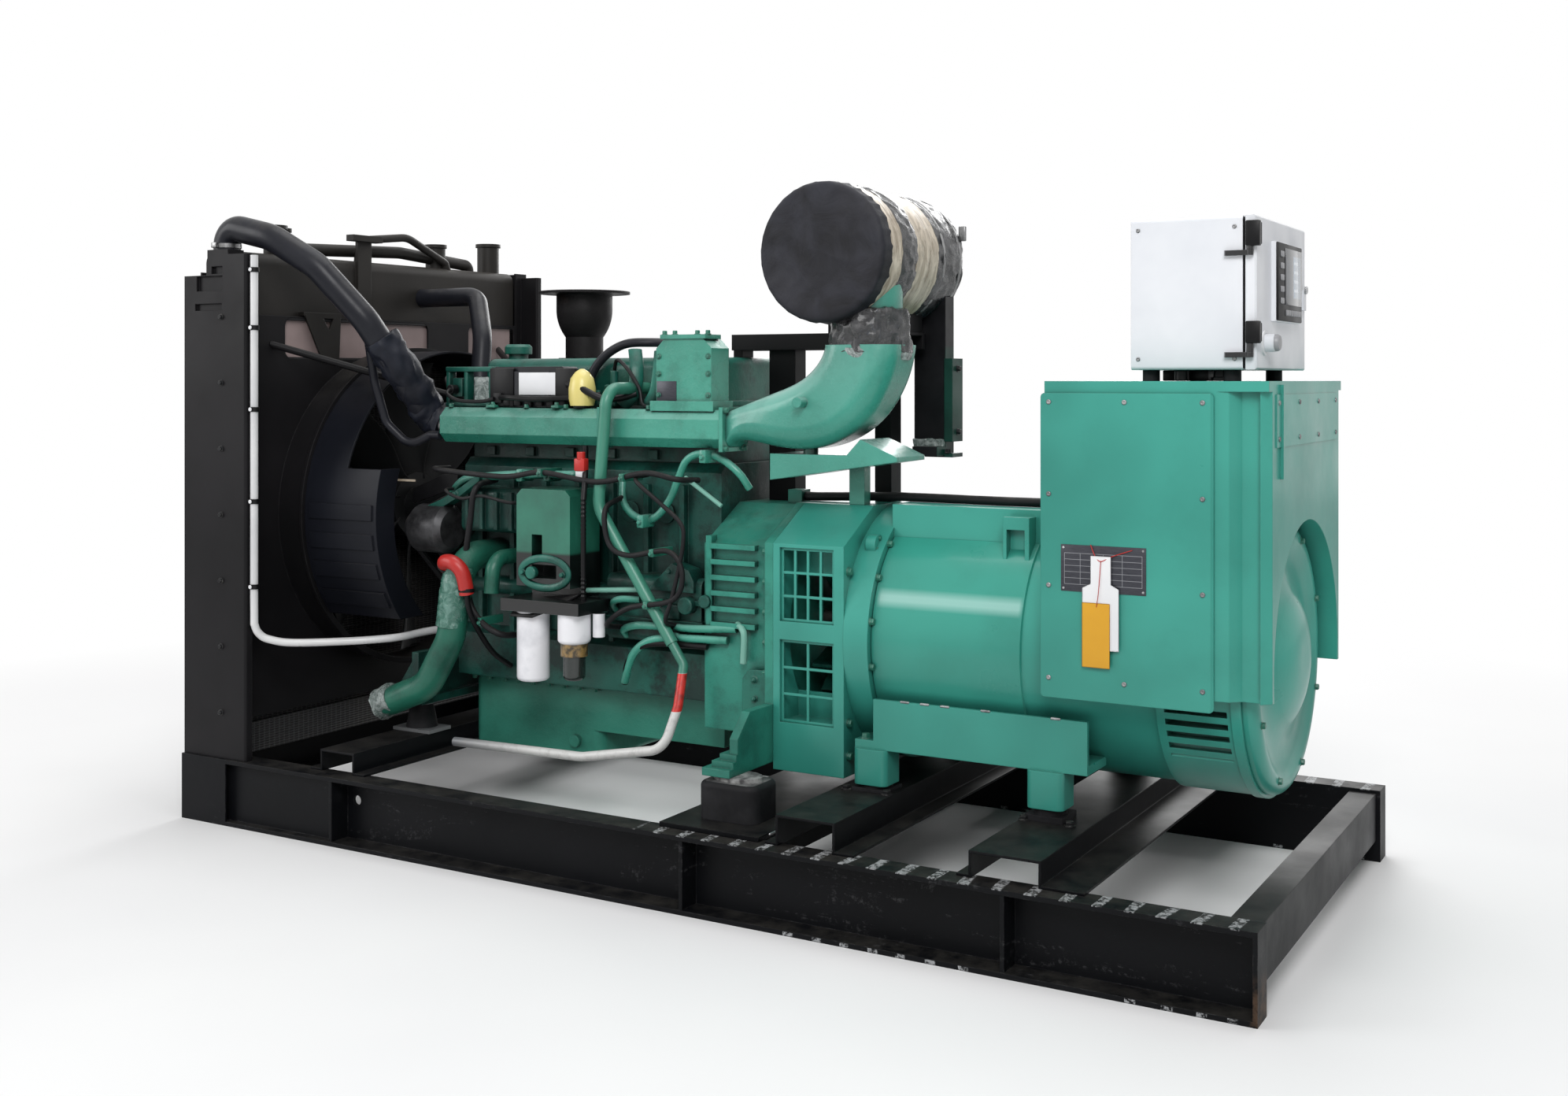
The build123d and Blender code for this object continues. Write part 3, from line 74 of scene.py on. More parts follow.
def make_camera():
    """A level camera at the photograph's viewing angle."""
    data = bpy.data.cameras.new("camera")
    data.sensor_width = SENSOR
    data.lens = SENSOR * FOCAL_PX / IMAGE_WIDTH
    data.shift_y = (HORIZON_PX - IMAGE_HEIGHT / 2) / IMAGE_WIDTH
    camera = bpy.data.objects.new("camera", data)
    camera.location = CAMERA_AT
    camera.rotation_euler = (math.radians(90), 0, math.radians(CAMERA_YAW))
    bpy.context.scene.collection.objects.link(camera)
    bpy.context.scene.camera = camera


make_camera()


def linear(colour):
    """Three display values, from 0 to 255, as a scene linear colour. Anything else stays as it is."""
    if isinstance(colour, bpy.types.NodeSocket) or len(colour) == 4:
        return colour
    shares = [part / 255 for part in colour]
    return (*[((share + 0.055) / 1.055) ** 2.4 if share > 0.04 else share / 12.92 for share in shares], 1)


def add_node(tree, kind, inputs, **settings):
    """A shader node, its inputs linked to sockets or set to values."""
    made = tree.nodes.new("ShaderNode" + kind)
    for key, value in settings.items():
        setattr(made, key, value)
    for key, value in inputs.items():
        if isinstance(value, bpy.types.NodeSocket):
            tree.links.new(value, made.inputs[key])
        else:
            made.inputs[key].default_value = value
    return made


class Finish:
    """A node material in the object's own coordinates. Each call of over() lays a colour on those before it."""

    def __init__(self, name, colour, roughness=0.5, metallic=0.0, specular=0.5, coat=0.0):
        self.material = bpy.data.materials.new(name)
        self.material.use_nodes = True
        self.tree = self.material.node_tree
        self.shader = self.tree.nodes["Principled BSDF"]
        for socket, value in (("Roughness", roughness), ("Metallic", metallic), ("Specular IOR Level", specular),
                              ("Coat Weight", coat), ("Coat Roughness", 0.12)):
            self.shader.inputs[socket].default_value = value
        self.place = self.node("TexCoord", {}).outputs["Object"]
        self.surface = self.node("NewGeometry", {}).outputs["Normal"]
        self.colour = colour
        self.normal = None

    def node(self, kind, inputs, **settings):
        return add_node(self.tree, kind, inputs, **settings)

    def noise(self, scale, detail=4, roughness=0.55, stretch=None, distortion=0.0):
        at = self.place
        if stretch:
            at = self.node("Mapping", {"Vector": self.place, "Scale": stretch}).outputs["Vector"]
        return self.node("TexNoise", {"Vector": at, "Scale": scale, "Detail": detail, "Roughness": roughness,
                                      "Distortion": distortion}).outputs["Fac"]

    def wave(self, direction, scale):
        return self.node("TexWave", {"Vector": self.place, "Scale": scale}, wave_type="BANDS",
                         bands_direction=direction).outputs["Fac"]

    def span(self, value, low, high, to_low=0.0, to_high=1.0):
        return self.node("MapRange", {"Value": value, "From Min": low, "From Max": high, "To Min": to_low,
                                      "To Max": to_high}).outputs["Result"]

    def patches(self, low, high, *pattern, **form):
        """0 where a noise is under low, rising to 1 where it is over high."""
        return self.span(self.noise(*pattern, **form), low, high)

    def rough(self, low, high, *pattern, until=0.7):
        """A roughness that drifts between two values with a noise."""
        return self.span(self.noise(*pattern), 0.3, until, low, high)

    def maths(self, operation, first, second=0.0):
        return self.node("Math", {0: first, 1: second}, operation=operation).outputs["Value"]

    def both(self, *values):
        """The product of the values."""
        product_of = values[0]
        for value in values[1:]:
            product_of = self.maths("MULTIPLY", product_of, value)
        return product_of

    def mix(self, factor, first, second):
        return self.node("Mix", {0: factor, 6: linear(first), 7: linear(second)}, data_type="RGBA").outputs[2]

    def mottle(self, first, second, *pattern):
        """Two colours in the patches of a noise."""
        return self.mix(self.patches(*pattern), first, second)

    def over(self, colour, *shares):
        """Lays a colour over the others by the product of the shares."""
        self.colour = self.mix(self.both(*shares), self.colour, colour)

    def axis(self, name):
        return self.node("SeparateXYZ", {"Vector": self.place}).outputs[name]

    def facing_up(self, low, high):
        """1 where the surface looks up."""
        return self.span(self.node("SeparateXYZ", {"Vector": self.surface}).outputs["Z"], low, high)

    def above(self, axis, low, high):
        return self.span(self.axis(axis), low, high)

    def below(self, axis, low, high):
        return self.span(self.axis(axis), low, high, 1, 0)

    def between(self, axis, low, high, soft=0.0004):
        """1 between two places along an axis, and 0 elsewhere."""
        value = self.axis(axis)
        return self.both(self.span(value, low - soft, low + soft), self.span(value, high - soft, high + soft, 1, 0))

    def dusty(self, share, low, high, scale, detail=6, roughness=0.7, start=0.6, stop=0.98):
        """Dust in patches on the faces that look up. Gives how much of it lies where."""
        settled = self.both(self.facing_up(start, stop), self.patches(low, high, scale, detail, roughness), share)
        self.over(DUST, settled)
        return settled

    def edges(self, radius):
        """Rounds the edges' shading and gives 1 along them."""
        self.normal = self.node("Bevel", {"Radius": radius}, samples=4).outputs["Normal"]
        along = self.node("VectorMath", {0: self.normal, 1: self.surface}, operation="DOT_PRODUCT").outputs["Value"]
        return self.span(along, 0.99, 0.8)

    def crevices(self, distance):
        """1 deep in corners and between close pieces."""
        open_air = self.node("AmbientOcclusion", {"Distance": distance}, samples=4).outputs["AO"]
        return self.span(open_air, 0.75, 0.25)

    def bump(self, height, strength, distance):
        inputs = {"Height": height, "Strength": strength, "Distance": distance}
        if self.normal:
            inputs["Normal"] = self.normal
        self.normal = self.node("Bump", inputs).outputs["Normal"]

    def done(self, roughness=None):
        """Gives the shader its colour, roughness and normal."""
        for socket, value in (("Base Color", self.colour), ("Roughness", roughness), ("Normal", self.normal)):
            if isinstance(value, bpy.types.NodeSocket):
                self.tree.links.new(value, self.shader.inputs[socket])
            elif value is not None:
                self.shader.inputs[socket].default_value = value
        return self.material


def paint(name, main, dark, worn, roughness, dust=0.25, grime_and_corner_shade=0.0, wear=0.5, coat=0.0, specular=0.5):
    """Sprayed paint: slow colour drift, painted shade in corners, dust on top faces and worn edges."""
    f = Finish(name, main, specular=specular, coat=coat)
    f.over(dark, f.patches(0.35, 0.68, 1.7, 3))
    f.over(dark, f.patches(0.5, 0.75, 7, 6, 0.65), 0.35)
    # Painted shade: the colour darkens deep in corners and between close pieces.
    if grime_and_corner_shade:
        f.over(f.mix(0.8, dark, (6, 10, 10)), f.crevices(0.09), grime_and_corner_shade)
    settled = f.dusty(dust, 0.34, 0.72, 11)
    f.over(worn, f.edges(0.0035), f.patches(0.5, 0.62, 34, 5, 0.7), wear)
    f.bump(f.noise(95, 3), 0.05, 0.002)
    drift = f.rough(roughness - 0.07, roughness + 0.1, 5, 5, 0.6, until=0.75)
    return f.done(f.maths("ADD", drift, f.both(settled, 0.4)))


def rail_paint():
    """Black rail paint with painted highlights as pale dashes along its edges, scrapes, and rust at the rear end."""
    f = Finish("rail black", (13, 14, 17), specular=0.12)
    f.over((8, 9, 11), f.patches(0.35, 0.68, 1.7, 3))
    f.dusty(0.16, 0.38, 0.74, 11)
    # Painted highlight: pale dashes at a steady pitch along the top and bottom edges stand for glints.
    step = f.maths("FRACT", f.maths("ADD", f.maths("MULTIPLY", f.axis("X"), 13.3), f.noise(3.1, 2)))
    glint_dash = f.both(f.span(step, 0.30, 0.34, 1, 0), f.patches(0.44, 0.56, 90, 5, 0.75))
    top = f.both(f.between("X", 0.06, 1.575, 0.01), f.between("Z", 0.192, 0.1975, 0.001))
    low = f.both(f.maths("MAXIMUM", f.between("X", 0.46, 0.96, 0.01), f.between("X", 1.28, 1.575, 0.01)),
                 f.between("Z", 0.001, 0.010, 0.001))
    f.over((176, 178, 180), glint_dash, f.maths("MAXIMUM", top, low), 0.75)
    f.over((90, 90, 92), f.patches(0.57, 0.62, 2.2, 8, 0.8, stretch=(1, 1, 5), distortion=1.0),
           f.patches(0.5, 0.62, 60, 5, 0.7), 0.3)
    f.over((82, 64, 50), f.above("X", 1.583, 1.59), f.below("Z", 0.05, 0.11), f.below("Y", -0.01, 0.01),
           f.patches(0.4, 0.56, 34, 6, 0.7), 0.7)
    f.over((112, 112, 112), f.edges(0.003), f.patches(0.52, 0.64, 34, 5, 0.7), 0.3)
    f.bump(f.noise(95, 3), 0.08, 0.002)
    f.bump(f.noise(7), 0.12, 0.01)
    return f.done(f.rough(0.36, 0.56, 5, 5, 0.6, until=0.75))


def casting(name, main, dark, worn, roughness, grime_and_corner_shade=0.6, sheen=0.0, coat=0.1):
    """Enamel over a sand casting, with painted shade in its corners and grime in patches, and paler where it faces up
    by the share sheen, a painted highlight.
    """
    f = Finish(name, main, coat=coat, specular=0.3)
    f.over(dark, f.patches(0.36, 0.66, 2.3))
    # Painted highlight: the colour turns pale on faces that look up.
    if sheen:
        f.over((158, 204, 194), f.facing_up(-0.1, 0.85), sheen)
    # Painted shade: the colour darkens deep in corners and between close pieces.
    f.over((4, 13, 12), f.crevices(0.08), 0.94)
    f.over(f.mix(0.5, dark, (6, 22, 19)), f.patches(0.53 - grime_and_corner_shade * 0.08, 0.73 - grime_and_corner_shade * 0.16, 9, 7, 0.7), grime_and_corner_shade)
    f.dusty(0.2, 0.44, 0.78, 13, start=0.55)
    f.over(worn, f.edges(0.005), f.patches(0.46, 0.64, 28, 5, 0.7), 0.4)
    f.bump(f.noise(150, 5, 0.7), 0.3, 0.003)
    f.bump(f.noise(14, 3), 0.25, 0.008)
    return f.done(f.rough(roughness - 0.1, roughness + 0.16, 8, 5, 0.6))


def rubber(name, main, grey, roughness, bloom=0.3, grain=120):
    """Rubber with a pale bloom in patches and a fine grain."""
    f = Finish(name, main, specular=0.2)
    f.over(grey, f.patches(0.42, 0.72, 6, 6, 0.65), bloom)
    f.dusty(0.18, 0.4, 0.7, 20, 5, 0.55, start=0.3, stop=0.95)
    f.edges(0.002)
    f.bump(f.noise(grain), 0.12, 0.001)
    return f.done(f.rough(roughness - 0.08, roughness + 0.1, 9))


def metal(name, main, dark, roughness, metallic=0.9):
    """Bare or plated metal, a little tarnished."""
    f = Finish(name, main, metallic=metallic)
    f.over(dark, f.patches(0.4, 0.7, 24, 6, 0.65))
    f.edges(0.0015)
    f.bump(f.noise(90, 4, 0.6), 0.12, 0.001)
    return f.done(f.rough(roughness - 0.1, roughness + 0.12, 30, 5))


def hot_metal():
    """Cast iron darkened by heat, with a dry rusty bloom."""
    f = Finish("dark metal", (30, 28, 29), metallic=0.2, specular=0.2)
    f.over((15, 14, 15), f.patches(0.38, 0.7, 10, 7, 0.7))
    f.over((58, 44, 36), f.patches(0.56, 0.72, 5, 5, 0.7), 0.5)
    f.edges(0.003)
    f.bump(f.noise(130, 6, 0.7), 0.35, 0.002)
    return f.done(f.rough(0.42, 0.68, 15, 5))


def plastic(name, main, dark, roughness, coat=0.0, grain=260, specular=0.5):
    """Moulded plastic or powder coat with a fine grain."""
    f = Finish(name, main, coat=coat, specular=specular)
    f.over(dark, f.patches(0.35, 0.7, 3))
    f.dusty(0.12, 0.4, 0.7, 17)
    f.edges(0.002)
    f.bump(f.noise(grain, 3), 0.08, 0.0008)
    return f.done(f.rough(roughness - 0.05, roughness + 0.08, 12))


def film(name, main, dark, shine, fold, depth):
    """Stretched film over a dark surface: sharp creases, and a wet shine painted into the colour as pale glints."""
    f = Finish(name, dark, specular=0.7, coat=0.35)
    crease = f.noise(fold, 7, 0.72, distortion=1.2)
    f.over(main, f.span(crease, 0.42, 0.62))
    # Painted highlight: pale glints in patches.
    f.over(shine, f.patches(0.56, 0.64, 46, 8, 0.75, distortion=2.0), 0.55)
    f.bump(crease, 0.7, depth)
    return f.done(f.span(crease, 0.3, 0.7, 0.16, 0.42))


def cleaner_body():
    """Moulded black duct and drum with a dark green plate beside the duct."""
    f = Finish("cleaner body", (17, 17, 19), specular=0.2)
    f.over((30, 30, 33), f.patches(0.4, 0.7, 5, 6, 0.65))
    f.over(f.mottle((24, 62, 53), (13, 38, 33), 0.4, 0.65, 6), f.above("X", 0.5454, 0.5458),
           f.below("Z", 1.40, 1.41))
    f.dusty(0.2, 0.42, 0.7, 14)
    f.edges(0.004)
    f.bump(f.noise(80), 0.1, 0.001)
    return f.done(f.rough(0.3, 0.5, 9))


def cabinet_finish():
    """White powder coat with black hinge knuckles."""
    f = Finish("cabinet white", (224, 226, 230), coat=0.1)
    f.over((206, 209, 215), f.patches(0.35, 0.7, 3))
    f.dusty(0.2, 0.4, 0.7, 17)
    f.over((20, 20, 22), f.below("Y", -0.3012, -0.3006), f.above("X", 1.425, 1.43))
    f.over((150, 152, 156), f.edges(0.002), 0.25)
    f.bump(f.noise(420, 3), 0.08, 0.0008)
    return f.done(f.rough(0.3, 0.44, 12))


def core_fins():
    """Flat tubes and folded fins of a radiator core."""
    f = Finish("core fins", (9, 9, 10), metallic=0.3)
    fin = f.wave("Z", 42)
    f.over((46, 46, 48), f.span(fin, 0.2, 0.8))
    f.over((58, 58, 60), f.span(f.wave("Y", 16), 0.75, 0.95))
    f.over((60, 56, 50), f.patches(0.45, 0.7, 4, 6), 0.4)
    f.bump(fin, 0.6, 0.004)
    return f.done(0.55)


def filter_module():
    """Green module over white spin-on cans, a brass ring and a dark bowl, with painted shade in its corners."""
    f = Finish("fuel filter finish", (40, 112, 92), coat=0.25)
    f.over((20, 70, 58), f.patches(0.35, 0.7, 5, 5))
    # Painted shade: the colour darkens deep in corners and between close pieces.
    f.over((6, 14, 13), f.crevices(0.08), 0.9)
    f.over((9, 16, 15), f.between("Z", 0.70, 0.826, 0.004))
    f.over((8, 9, 10), f.between("Z", 0.668, 0.7025))
    f.over(f.mottle((232, 232, 236), (196, 197, 203), 0.5, 0.75, 9, 5), f.below("Z", 0.6676, 0.6684))
    at_bowl = f.between("X", -0.40, -0.305)
    f.over(f.mottle((138, 112, 66), (58, 48, 30), 0.4, 0.6, 60, 5), at_bowl, f.below("Z", 0.5848, 0.5856))
    bowl = f.both(at_bowl, f.below("Z", 0.5498, 0.5504))
    f.over((34, 40, 38), bowl)
    f.edges(0.002)
    f.bump(f.noise(120), 0.08, 0.001)
    return f.done(f.mix(bowl, (0.34, 0.34, 0.34, 1), (0.12, 0.12, 0.12, 1)))


def mount_finish():
    """Black rubber mounts with pale shims and zinc plates."""
    f = Finish("mount finish", (22, 22, 24), specular=0.15)
    f.over((44, 44, 46), f.patches(0.45, 0.7, 8, 6))
    f.over(f.mottle((150, 151, 150), (70, 70, 71), 0.4, 0.65, 40, 5), f.above("Z", 0.2995, 0.3005),
           f.below("Z", 0.32, 0.33), f.span(f.maths("ABSOLUTE", f.axis("Y")), 0.42, 0.43))
    f.over((120, 122, 124), f.below("X", -0.80, -0.79),
           f.maths("MAXIMUM", f.between("Z", 0.2548, 0.2655), f.between("Z", 0.3349, 0.3455)))
    f.edges(0.002)
    f.bump(f.noise(70), 0.15, 0.002)
    return f.done(0.6)


def hose_line():
    """Green pipe, red sleeve and pale drain hose, one below the other."""
    f = Finish("breather and drain finish", (96, 98, 102), coat=0.1)
    f.over((206, 206, 204), f.above("X", -0.76, -0.45))
    f.over((120, 118, 114), f.patches(0.5, 0.7, 30, 6, 0.7), 0.4)
    f.over(f.mottle((58, 128, 108), (44, 100, 86), 0.4, 0.7, 4, 5), f.above("Z", 0.523, 0.527))
    f.over(f.mottle((196, 44, 36), (120, 26, 24), 0.45, 0.65, 40, 5), f.between("Z", 0.428, 0.525))
    f.bump(f.noise(140), 0.1, 0.001)
    return f.done(0.42)


def display_face():
    """A dark screen with soft generic panels of light, and no words."""
    f = Finish("display face", (28, 34, 42), roughness=0.12, coat=0.6)
    f.over((120, 146, 170), f.between("Y", -0.02, 0.055, 0.001), f.between("Z", 1.51, 1.61, 0.001))
    for z in (1.525, 1.547, 1.569, 1.591):
        f.over((206, 220, 232), f.between("Y", -0.012, 0.03, 0.0005), f.between("Z", z, z + 0.007, 0.0005))
    for y in (-0.085, -0.06, -0.038):
        f.over((58, 68, 80), f.between("Y", y, y + 0.012, 0.001), f.between("Z", 1.515, 1.6, 0.001))
    f.over((90, 96, 104), f.patches(0.4, 0.7, 40, 5), 0.15)
    f.bump(f.noise(300, 2), 0.02, 0.0005)
    return f.done()


def blank_plate():
    """A brushed plate with a border line and empty fields, and no words."""
    f = Finish("blank plate", (62, 63, 70), roughness=0.34, metallic=0.4)
    brushed = f.noise(60, 4, 0.6, stretch=(1, 1, 14))
    line, width = (150, 152, 156), 0.0009
    f.over((44, 45, 52), f.span(brushed, 0.35, 0.7))
    for row in (0.8355, 0.850, 0.8645, 0.879, 0.8935, 0.908):
        f.over(line, f.between("Z", row, row + width, 0.0003), f.between("X", 1.074, 1.261))
    for column in (1.0735, 1.112, 1.168, 1.2135, 1.2605):
        f.over(line, f.between("X", column, column + width, 0.0003), f.between("Z", 0.8355, 0.9085))
    f.bump(brushed, 0.1, 0.0005)
    return f.done()


def woven():
    """Stretched black cloth with a fine weave and long creases."""
    f = Finish("black cloth", (18, 18, 22), roughness=0.6, specular=0.25)
    crease = f.noise(9, 6, 0.6, distortion=0.8)
    f.over((40, 41, 48), f.span(crease, 0.36, 0.66))
    f.over((50, 50, 56), f.patches(0.5, 0.7, 3.5, 3), 0.5)
    f.bump(f.both(f.wave("X", 260), f.wave("Z", 260)), 0.2, 0.0008)
    f.bump(crease, 0.5, 0.01)
    return f.done()


def tape_finish():
    """Tan tape with long wrinkles and darker overlaps."""
    f = Finish("tan tape", (142, 126, 104), roughness=0.42, coat=0.15)
    fold = f.noise(12, 6, 0.65, stretch=(1, 3.5, 1), distortion=0.7)
    f.over((216, 203, 184), f.span(fold, 0.36, 0.62))
    f.over((92, 80, 64), f.patches(0.55, 0.7, 34, 6, 0.7), 0.5)
    f.bump(fold, 0.45, 0.008)
    return f.done()


def pipe_film():
    """Thin clear film over a green pipe, with painted highlights as pale glints."""
    f = Finish("film on pipe", (36, 98, 82), roughness=0.22, coat=0.5)
    crease = f.noise(34, 7, 0.7, distortion=1.4)
    f.over((96, 140, 128), f.span(crease, 0.45, 0.62))
    # Painted highlight: near-white glints in patches.
    f.over((190, 206, 200), f.patches(0.6, 0.7, 70, 6, 0.7), 0.6)
    f.bump(crease, 0.6, 0.01)
    return f.done()


def barrel_finish():
    """Alternator paint with painted shade in its corners and a painted highlight, a long pale band, below the raised
    top on the near side.
    """
    f = Finish("barrel green", (54, 147, 131), roughness=0.3, specular=0.35, coat=0.2)
    f.over((43, 124, 111), f.patches(0.35, 0.68, 1.7, 3))
    f.over((40, 118, 102), f.patches(0.5, 0.75, 7, 6, 0.65), 0.25)
    # Painted shade: the colour darkens deep in corners and between close pieces.
    f.over((6, 20, 17), f.crevices(0.06), 0.6)
    # Painted highlight: a fixed pale band below the raised top on the near side.
    f.over((168, 208, 200), f.between("Z", 0.742, 0.774, 0.01), f.below("Y", -0.2, -0.1),
           f.between("X", 0.542, 0.93, 0.006), 0.62)
    f.bump(f.noise(95, 3), 0.05, 0.002)
    return f.done(f.rough(0.26, 0.4, 5, 5, 0.6, until=0.75))


# Finishes that carried-over and added pieces share
ENGINE_GREEN = casting("engine green", (38, 116, 100), (22, 84, 73), (92, 148, 134), 0.36, grime_and_corner_shade=0.7)
CAST_GREEN = casting("cast green", (26, 92, 80), (9, 48, 43), (78, 134, 120), 0.42, grime_and_corner_shade=0.9)
# Painted highlight by its sheen: manifold green, which the side pipes share, is paler on faces that look up.
MANIFOLD_GREEN = casting("manifold green", (62, 150, 130), (42, 116, 99), (120, 176, 160), 0.26, grime_and_corner_shade=0.4,
                         sheen=0.28, coat=0.3)
RUBBER = rubber("rubber black", (24, 24, 26), (50, 50, 52), 0.55)
HOSE_RUBBER = rubber("hose rubber", (27, 28, 34), (44, 46, 52), 0.34, grain=60)
HARNESS_RUBBER = rubber("harness sleeve", (20, 20, 22), (38, 38, 40), 0.5)
WHITE_PIPE = plastic("white pipe", (222, 222, 222), (186, 187, 190), 0.3, coat=0.2)
RAIL = rail_paint()

# Finishes of the carried-over pieces, by the record's slot or by the node's own name
SLOTS = {
    "frame_black": paint("frame black", (14, 15, 18), (9, 10, 12), (88, 87, 86), 0.42, dust=0.09, wear=0.2,
                         specular=0.12),
    "rubber_black": RUBBER,
    "radiator_black": paint("radiator black", (27, 26, 28), (15, 15, 16), (92, 90, 88), 0.42, dust=0.12, wear=0.15,
                            specular=0.12),
    "core_fins": core_fins(),
    "engine_green": ENGINE_GREEN,
    "alternator_green": paint("alternator green", (60, 154, 139), (45, 128, 115), (116, 178, 164), 0.34, dust=0.08,
                              grime_and_corner_shade=0.6, wear=0.18, coat=0.15, specular=0.35),
    "cast_green": CAST_GREEN,
    "dark_metal": hot_metal(),
    "white_filter": filter_module(),
    "white_pipe": WHITE_PIPE,
    "cleaner_black": cleaner_body(),
    "cabinet_white": cabinet_finish(),
    "fan_plastic": plastic("fan plastic", (26, 27, 28), (16, 17, 18), 0.45, specular=0.2),
    "bare_aluminium": plastic("header grey", (158, 141, 139), (124, 110, 109), 0.4, grain=90, specular=0.3),
}
OWN = {
    "rubber_mounts": mount_finish(),
    "charge_air_hose": HOSE_RUBBER,
    "top_hose": HOSE_RUBBER,
    "sensor_harness": HARNESS_RUBBER,
    "fan_guard": paint("guard black", (24, 26, 33), (14, 15, 20), (70, 72, 78), 0.4, dust=0.08, wear=0.1,
                       specular=0.15),
    "radiator_top_tank": paint("tank black", (42, 40, 38), (26, 25, 24), (104, 98, 92), 0.45, dust=0.16, wear=0.15,
                               specular=0.15),
    "control_unit": plastic("unit black", (36, 37, 42), (24, 25, 29), 0.42, specular=0.25),
    "drive_shaft": metal("shaft steel", (92, 90, 88), (50, 48, 47), 0.35),
    "intake_manifold": MANIFOLD_GREEN,
    "charging_alternator": metal("charger metal", (66, 66, 68), (30, 30, 32), 0.42, metallic=0.6),
    "breather_line": hose_line(),
    "coolant_pipes": casting("pipe green", (40, 112, 92), (20, 70, 58), (96, 148, 134), 0.34),
    # Painted highlight: the elbow's paler green and its paler top faces stand for light falling on it.
    "intake_pipes": casting("elbow green", (62, 150, 132), (48, 126, 110), (130, 184, 170), 0.26, grime_and_corner_shade=0.25,
                            sheen=0.6, coat=0.3),
    "oil_sump": casting("sump green", (56, 134, 116), (44, 112, 96), (98, 156, 140), 0.4, grime_and_corner_shade=0.3),
    "flywheel_housing": casting("housing green", (52, 142, 124), (34, 106, 92), (104, 164, 148), 0.38, grime_and_corner_shade=0.5),
    "rail_near": RAIL,
    "rail_far": RAIL,
}
for part in frame["record"]["subparts"]:
    finish = OWN.get(part["node"], SLOTS[part["material_slot"]])
    for slot in frame["nodes"][part["node"]].material_slots:
        slot.material = finish

# Finishes of the added pieces
ZINC = metal("zinc plate", (150, 150, 150), (96, 96, 98), 0.38)
BRIGHT = metal("bright steel", (196, 197, 198), (128, 128, 130), 0.28)
WELD = metal("weld bead", (176, 176, 178), (92, 92, 94), 0.35, metallic=0.6)
BLACK_PLASTIC = plastic("black plastic", (16, 16, 18), (9, 9, 10), 0.38, specular=0.2)
GREY_PLASTIC = plastic("grey plastic", (150, 151, 154), (120, 121, 124), 0.4)
WHITE_CARD = plastic("white card", (232, 233, 234), (212, 213, 216), 0.45, grain=700)
ORANGE_CARD = plastic("orange card", (224, 168, 34), (200, 144, 26), 0.4)
YELLOW_CAP = plastic("yellow cap", (232, 218, 138), (206, 190, 108), 0.35, coat=0.2)
RED = plastic("red plastic", (190, 40, 34), (140, 24, 22), 0.4)
CLEAR_FILM = film("clear film", (150, 160, 158), (84, 98, 94), (226, 230, 230), fold=38, depth=0.008)
DARK_FILM = film("dark film", (10, 12, 18), (3, 3, 5), (58, 66, 80), fold=22, depth=0.015)
GREEN_BOLT = paint("painted bolt", (40, 116, 97), (24, 80, 67), (132, 164, 154), 0.4, dust=0.15, wear=0.6)
BLACK_BOLT = paint("black bolt", (26, 27, 29), (15, 16, 17), (136, 134, 130), 0.42, dust=0.15, specular=0.2)
PALE_GREEN = paint("pale green rod", (122, 178, 162), (92, 146, 132), (190, 200, 190), 0.35)
HOSE_WRAP = rubber("hose wrap", (17, 19, 27), (52, 57, 70), 0.42, bloom=0.35, grain=60)
DISPLAY = display_face()
BARREL = barrel_finish()
PLATE = blank_plate()
CLOTH = woven()
TAPE = tape_finish()
PIPE_FILM = pipe_film()


def curve(points, steps):
    """Points on a smooth line through the given ones."""
    places = [Vector(p) for p in points]
    ends = [places[0] * 2 - places[1]] + places + [places[-1] * 2 - places[-2]]
    line = []
    for a, b, c, d in zip(ends, ends[1:], ends[2:], ends[3:]):
        for i in range(steps):
            t = i / steps
            line.append(0.5 * (2 * b + (c - a) * t + (2 * a - 5 * b + 4 * c - d) * t * t
                               + (3 * b - a - 3 * c + d) * t ** 3))
    return line + [places[-1]]


def spread(low, high, count):
    """Even places from low to high, both of them included."""
    return [low + (high - low) * i / (count - 1) for i in range(count)]


def turns(count):
    """Even angles once round."""
    return [math.tau * i / count for i in range(count)]


def spots(*axes):
    """Every meeting of the given x, y and z places. One number stands for itself."""
    return product(*[axis if isinstance(axis, (list, tuple)) else (axis,) for axis in axes])


def skin(mesh, rings):
    """Faces between rings of vertices, where a ring of one vertex is a point."""
    for first, second in zip(rings, rings[1:]):
        count = max(len(first), len(second))
        for i in range(count):
            j = (i + 1) % count
            corners = [first[i % len(first)], first[j % len(first)], second[j % len(second)], second[i % len(second)]]
            mesh.faces.new(list(dict.fromkeys(corners)))


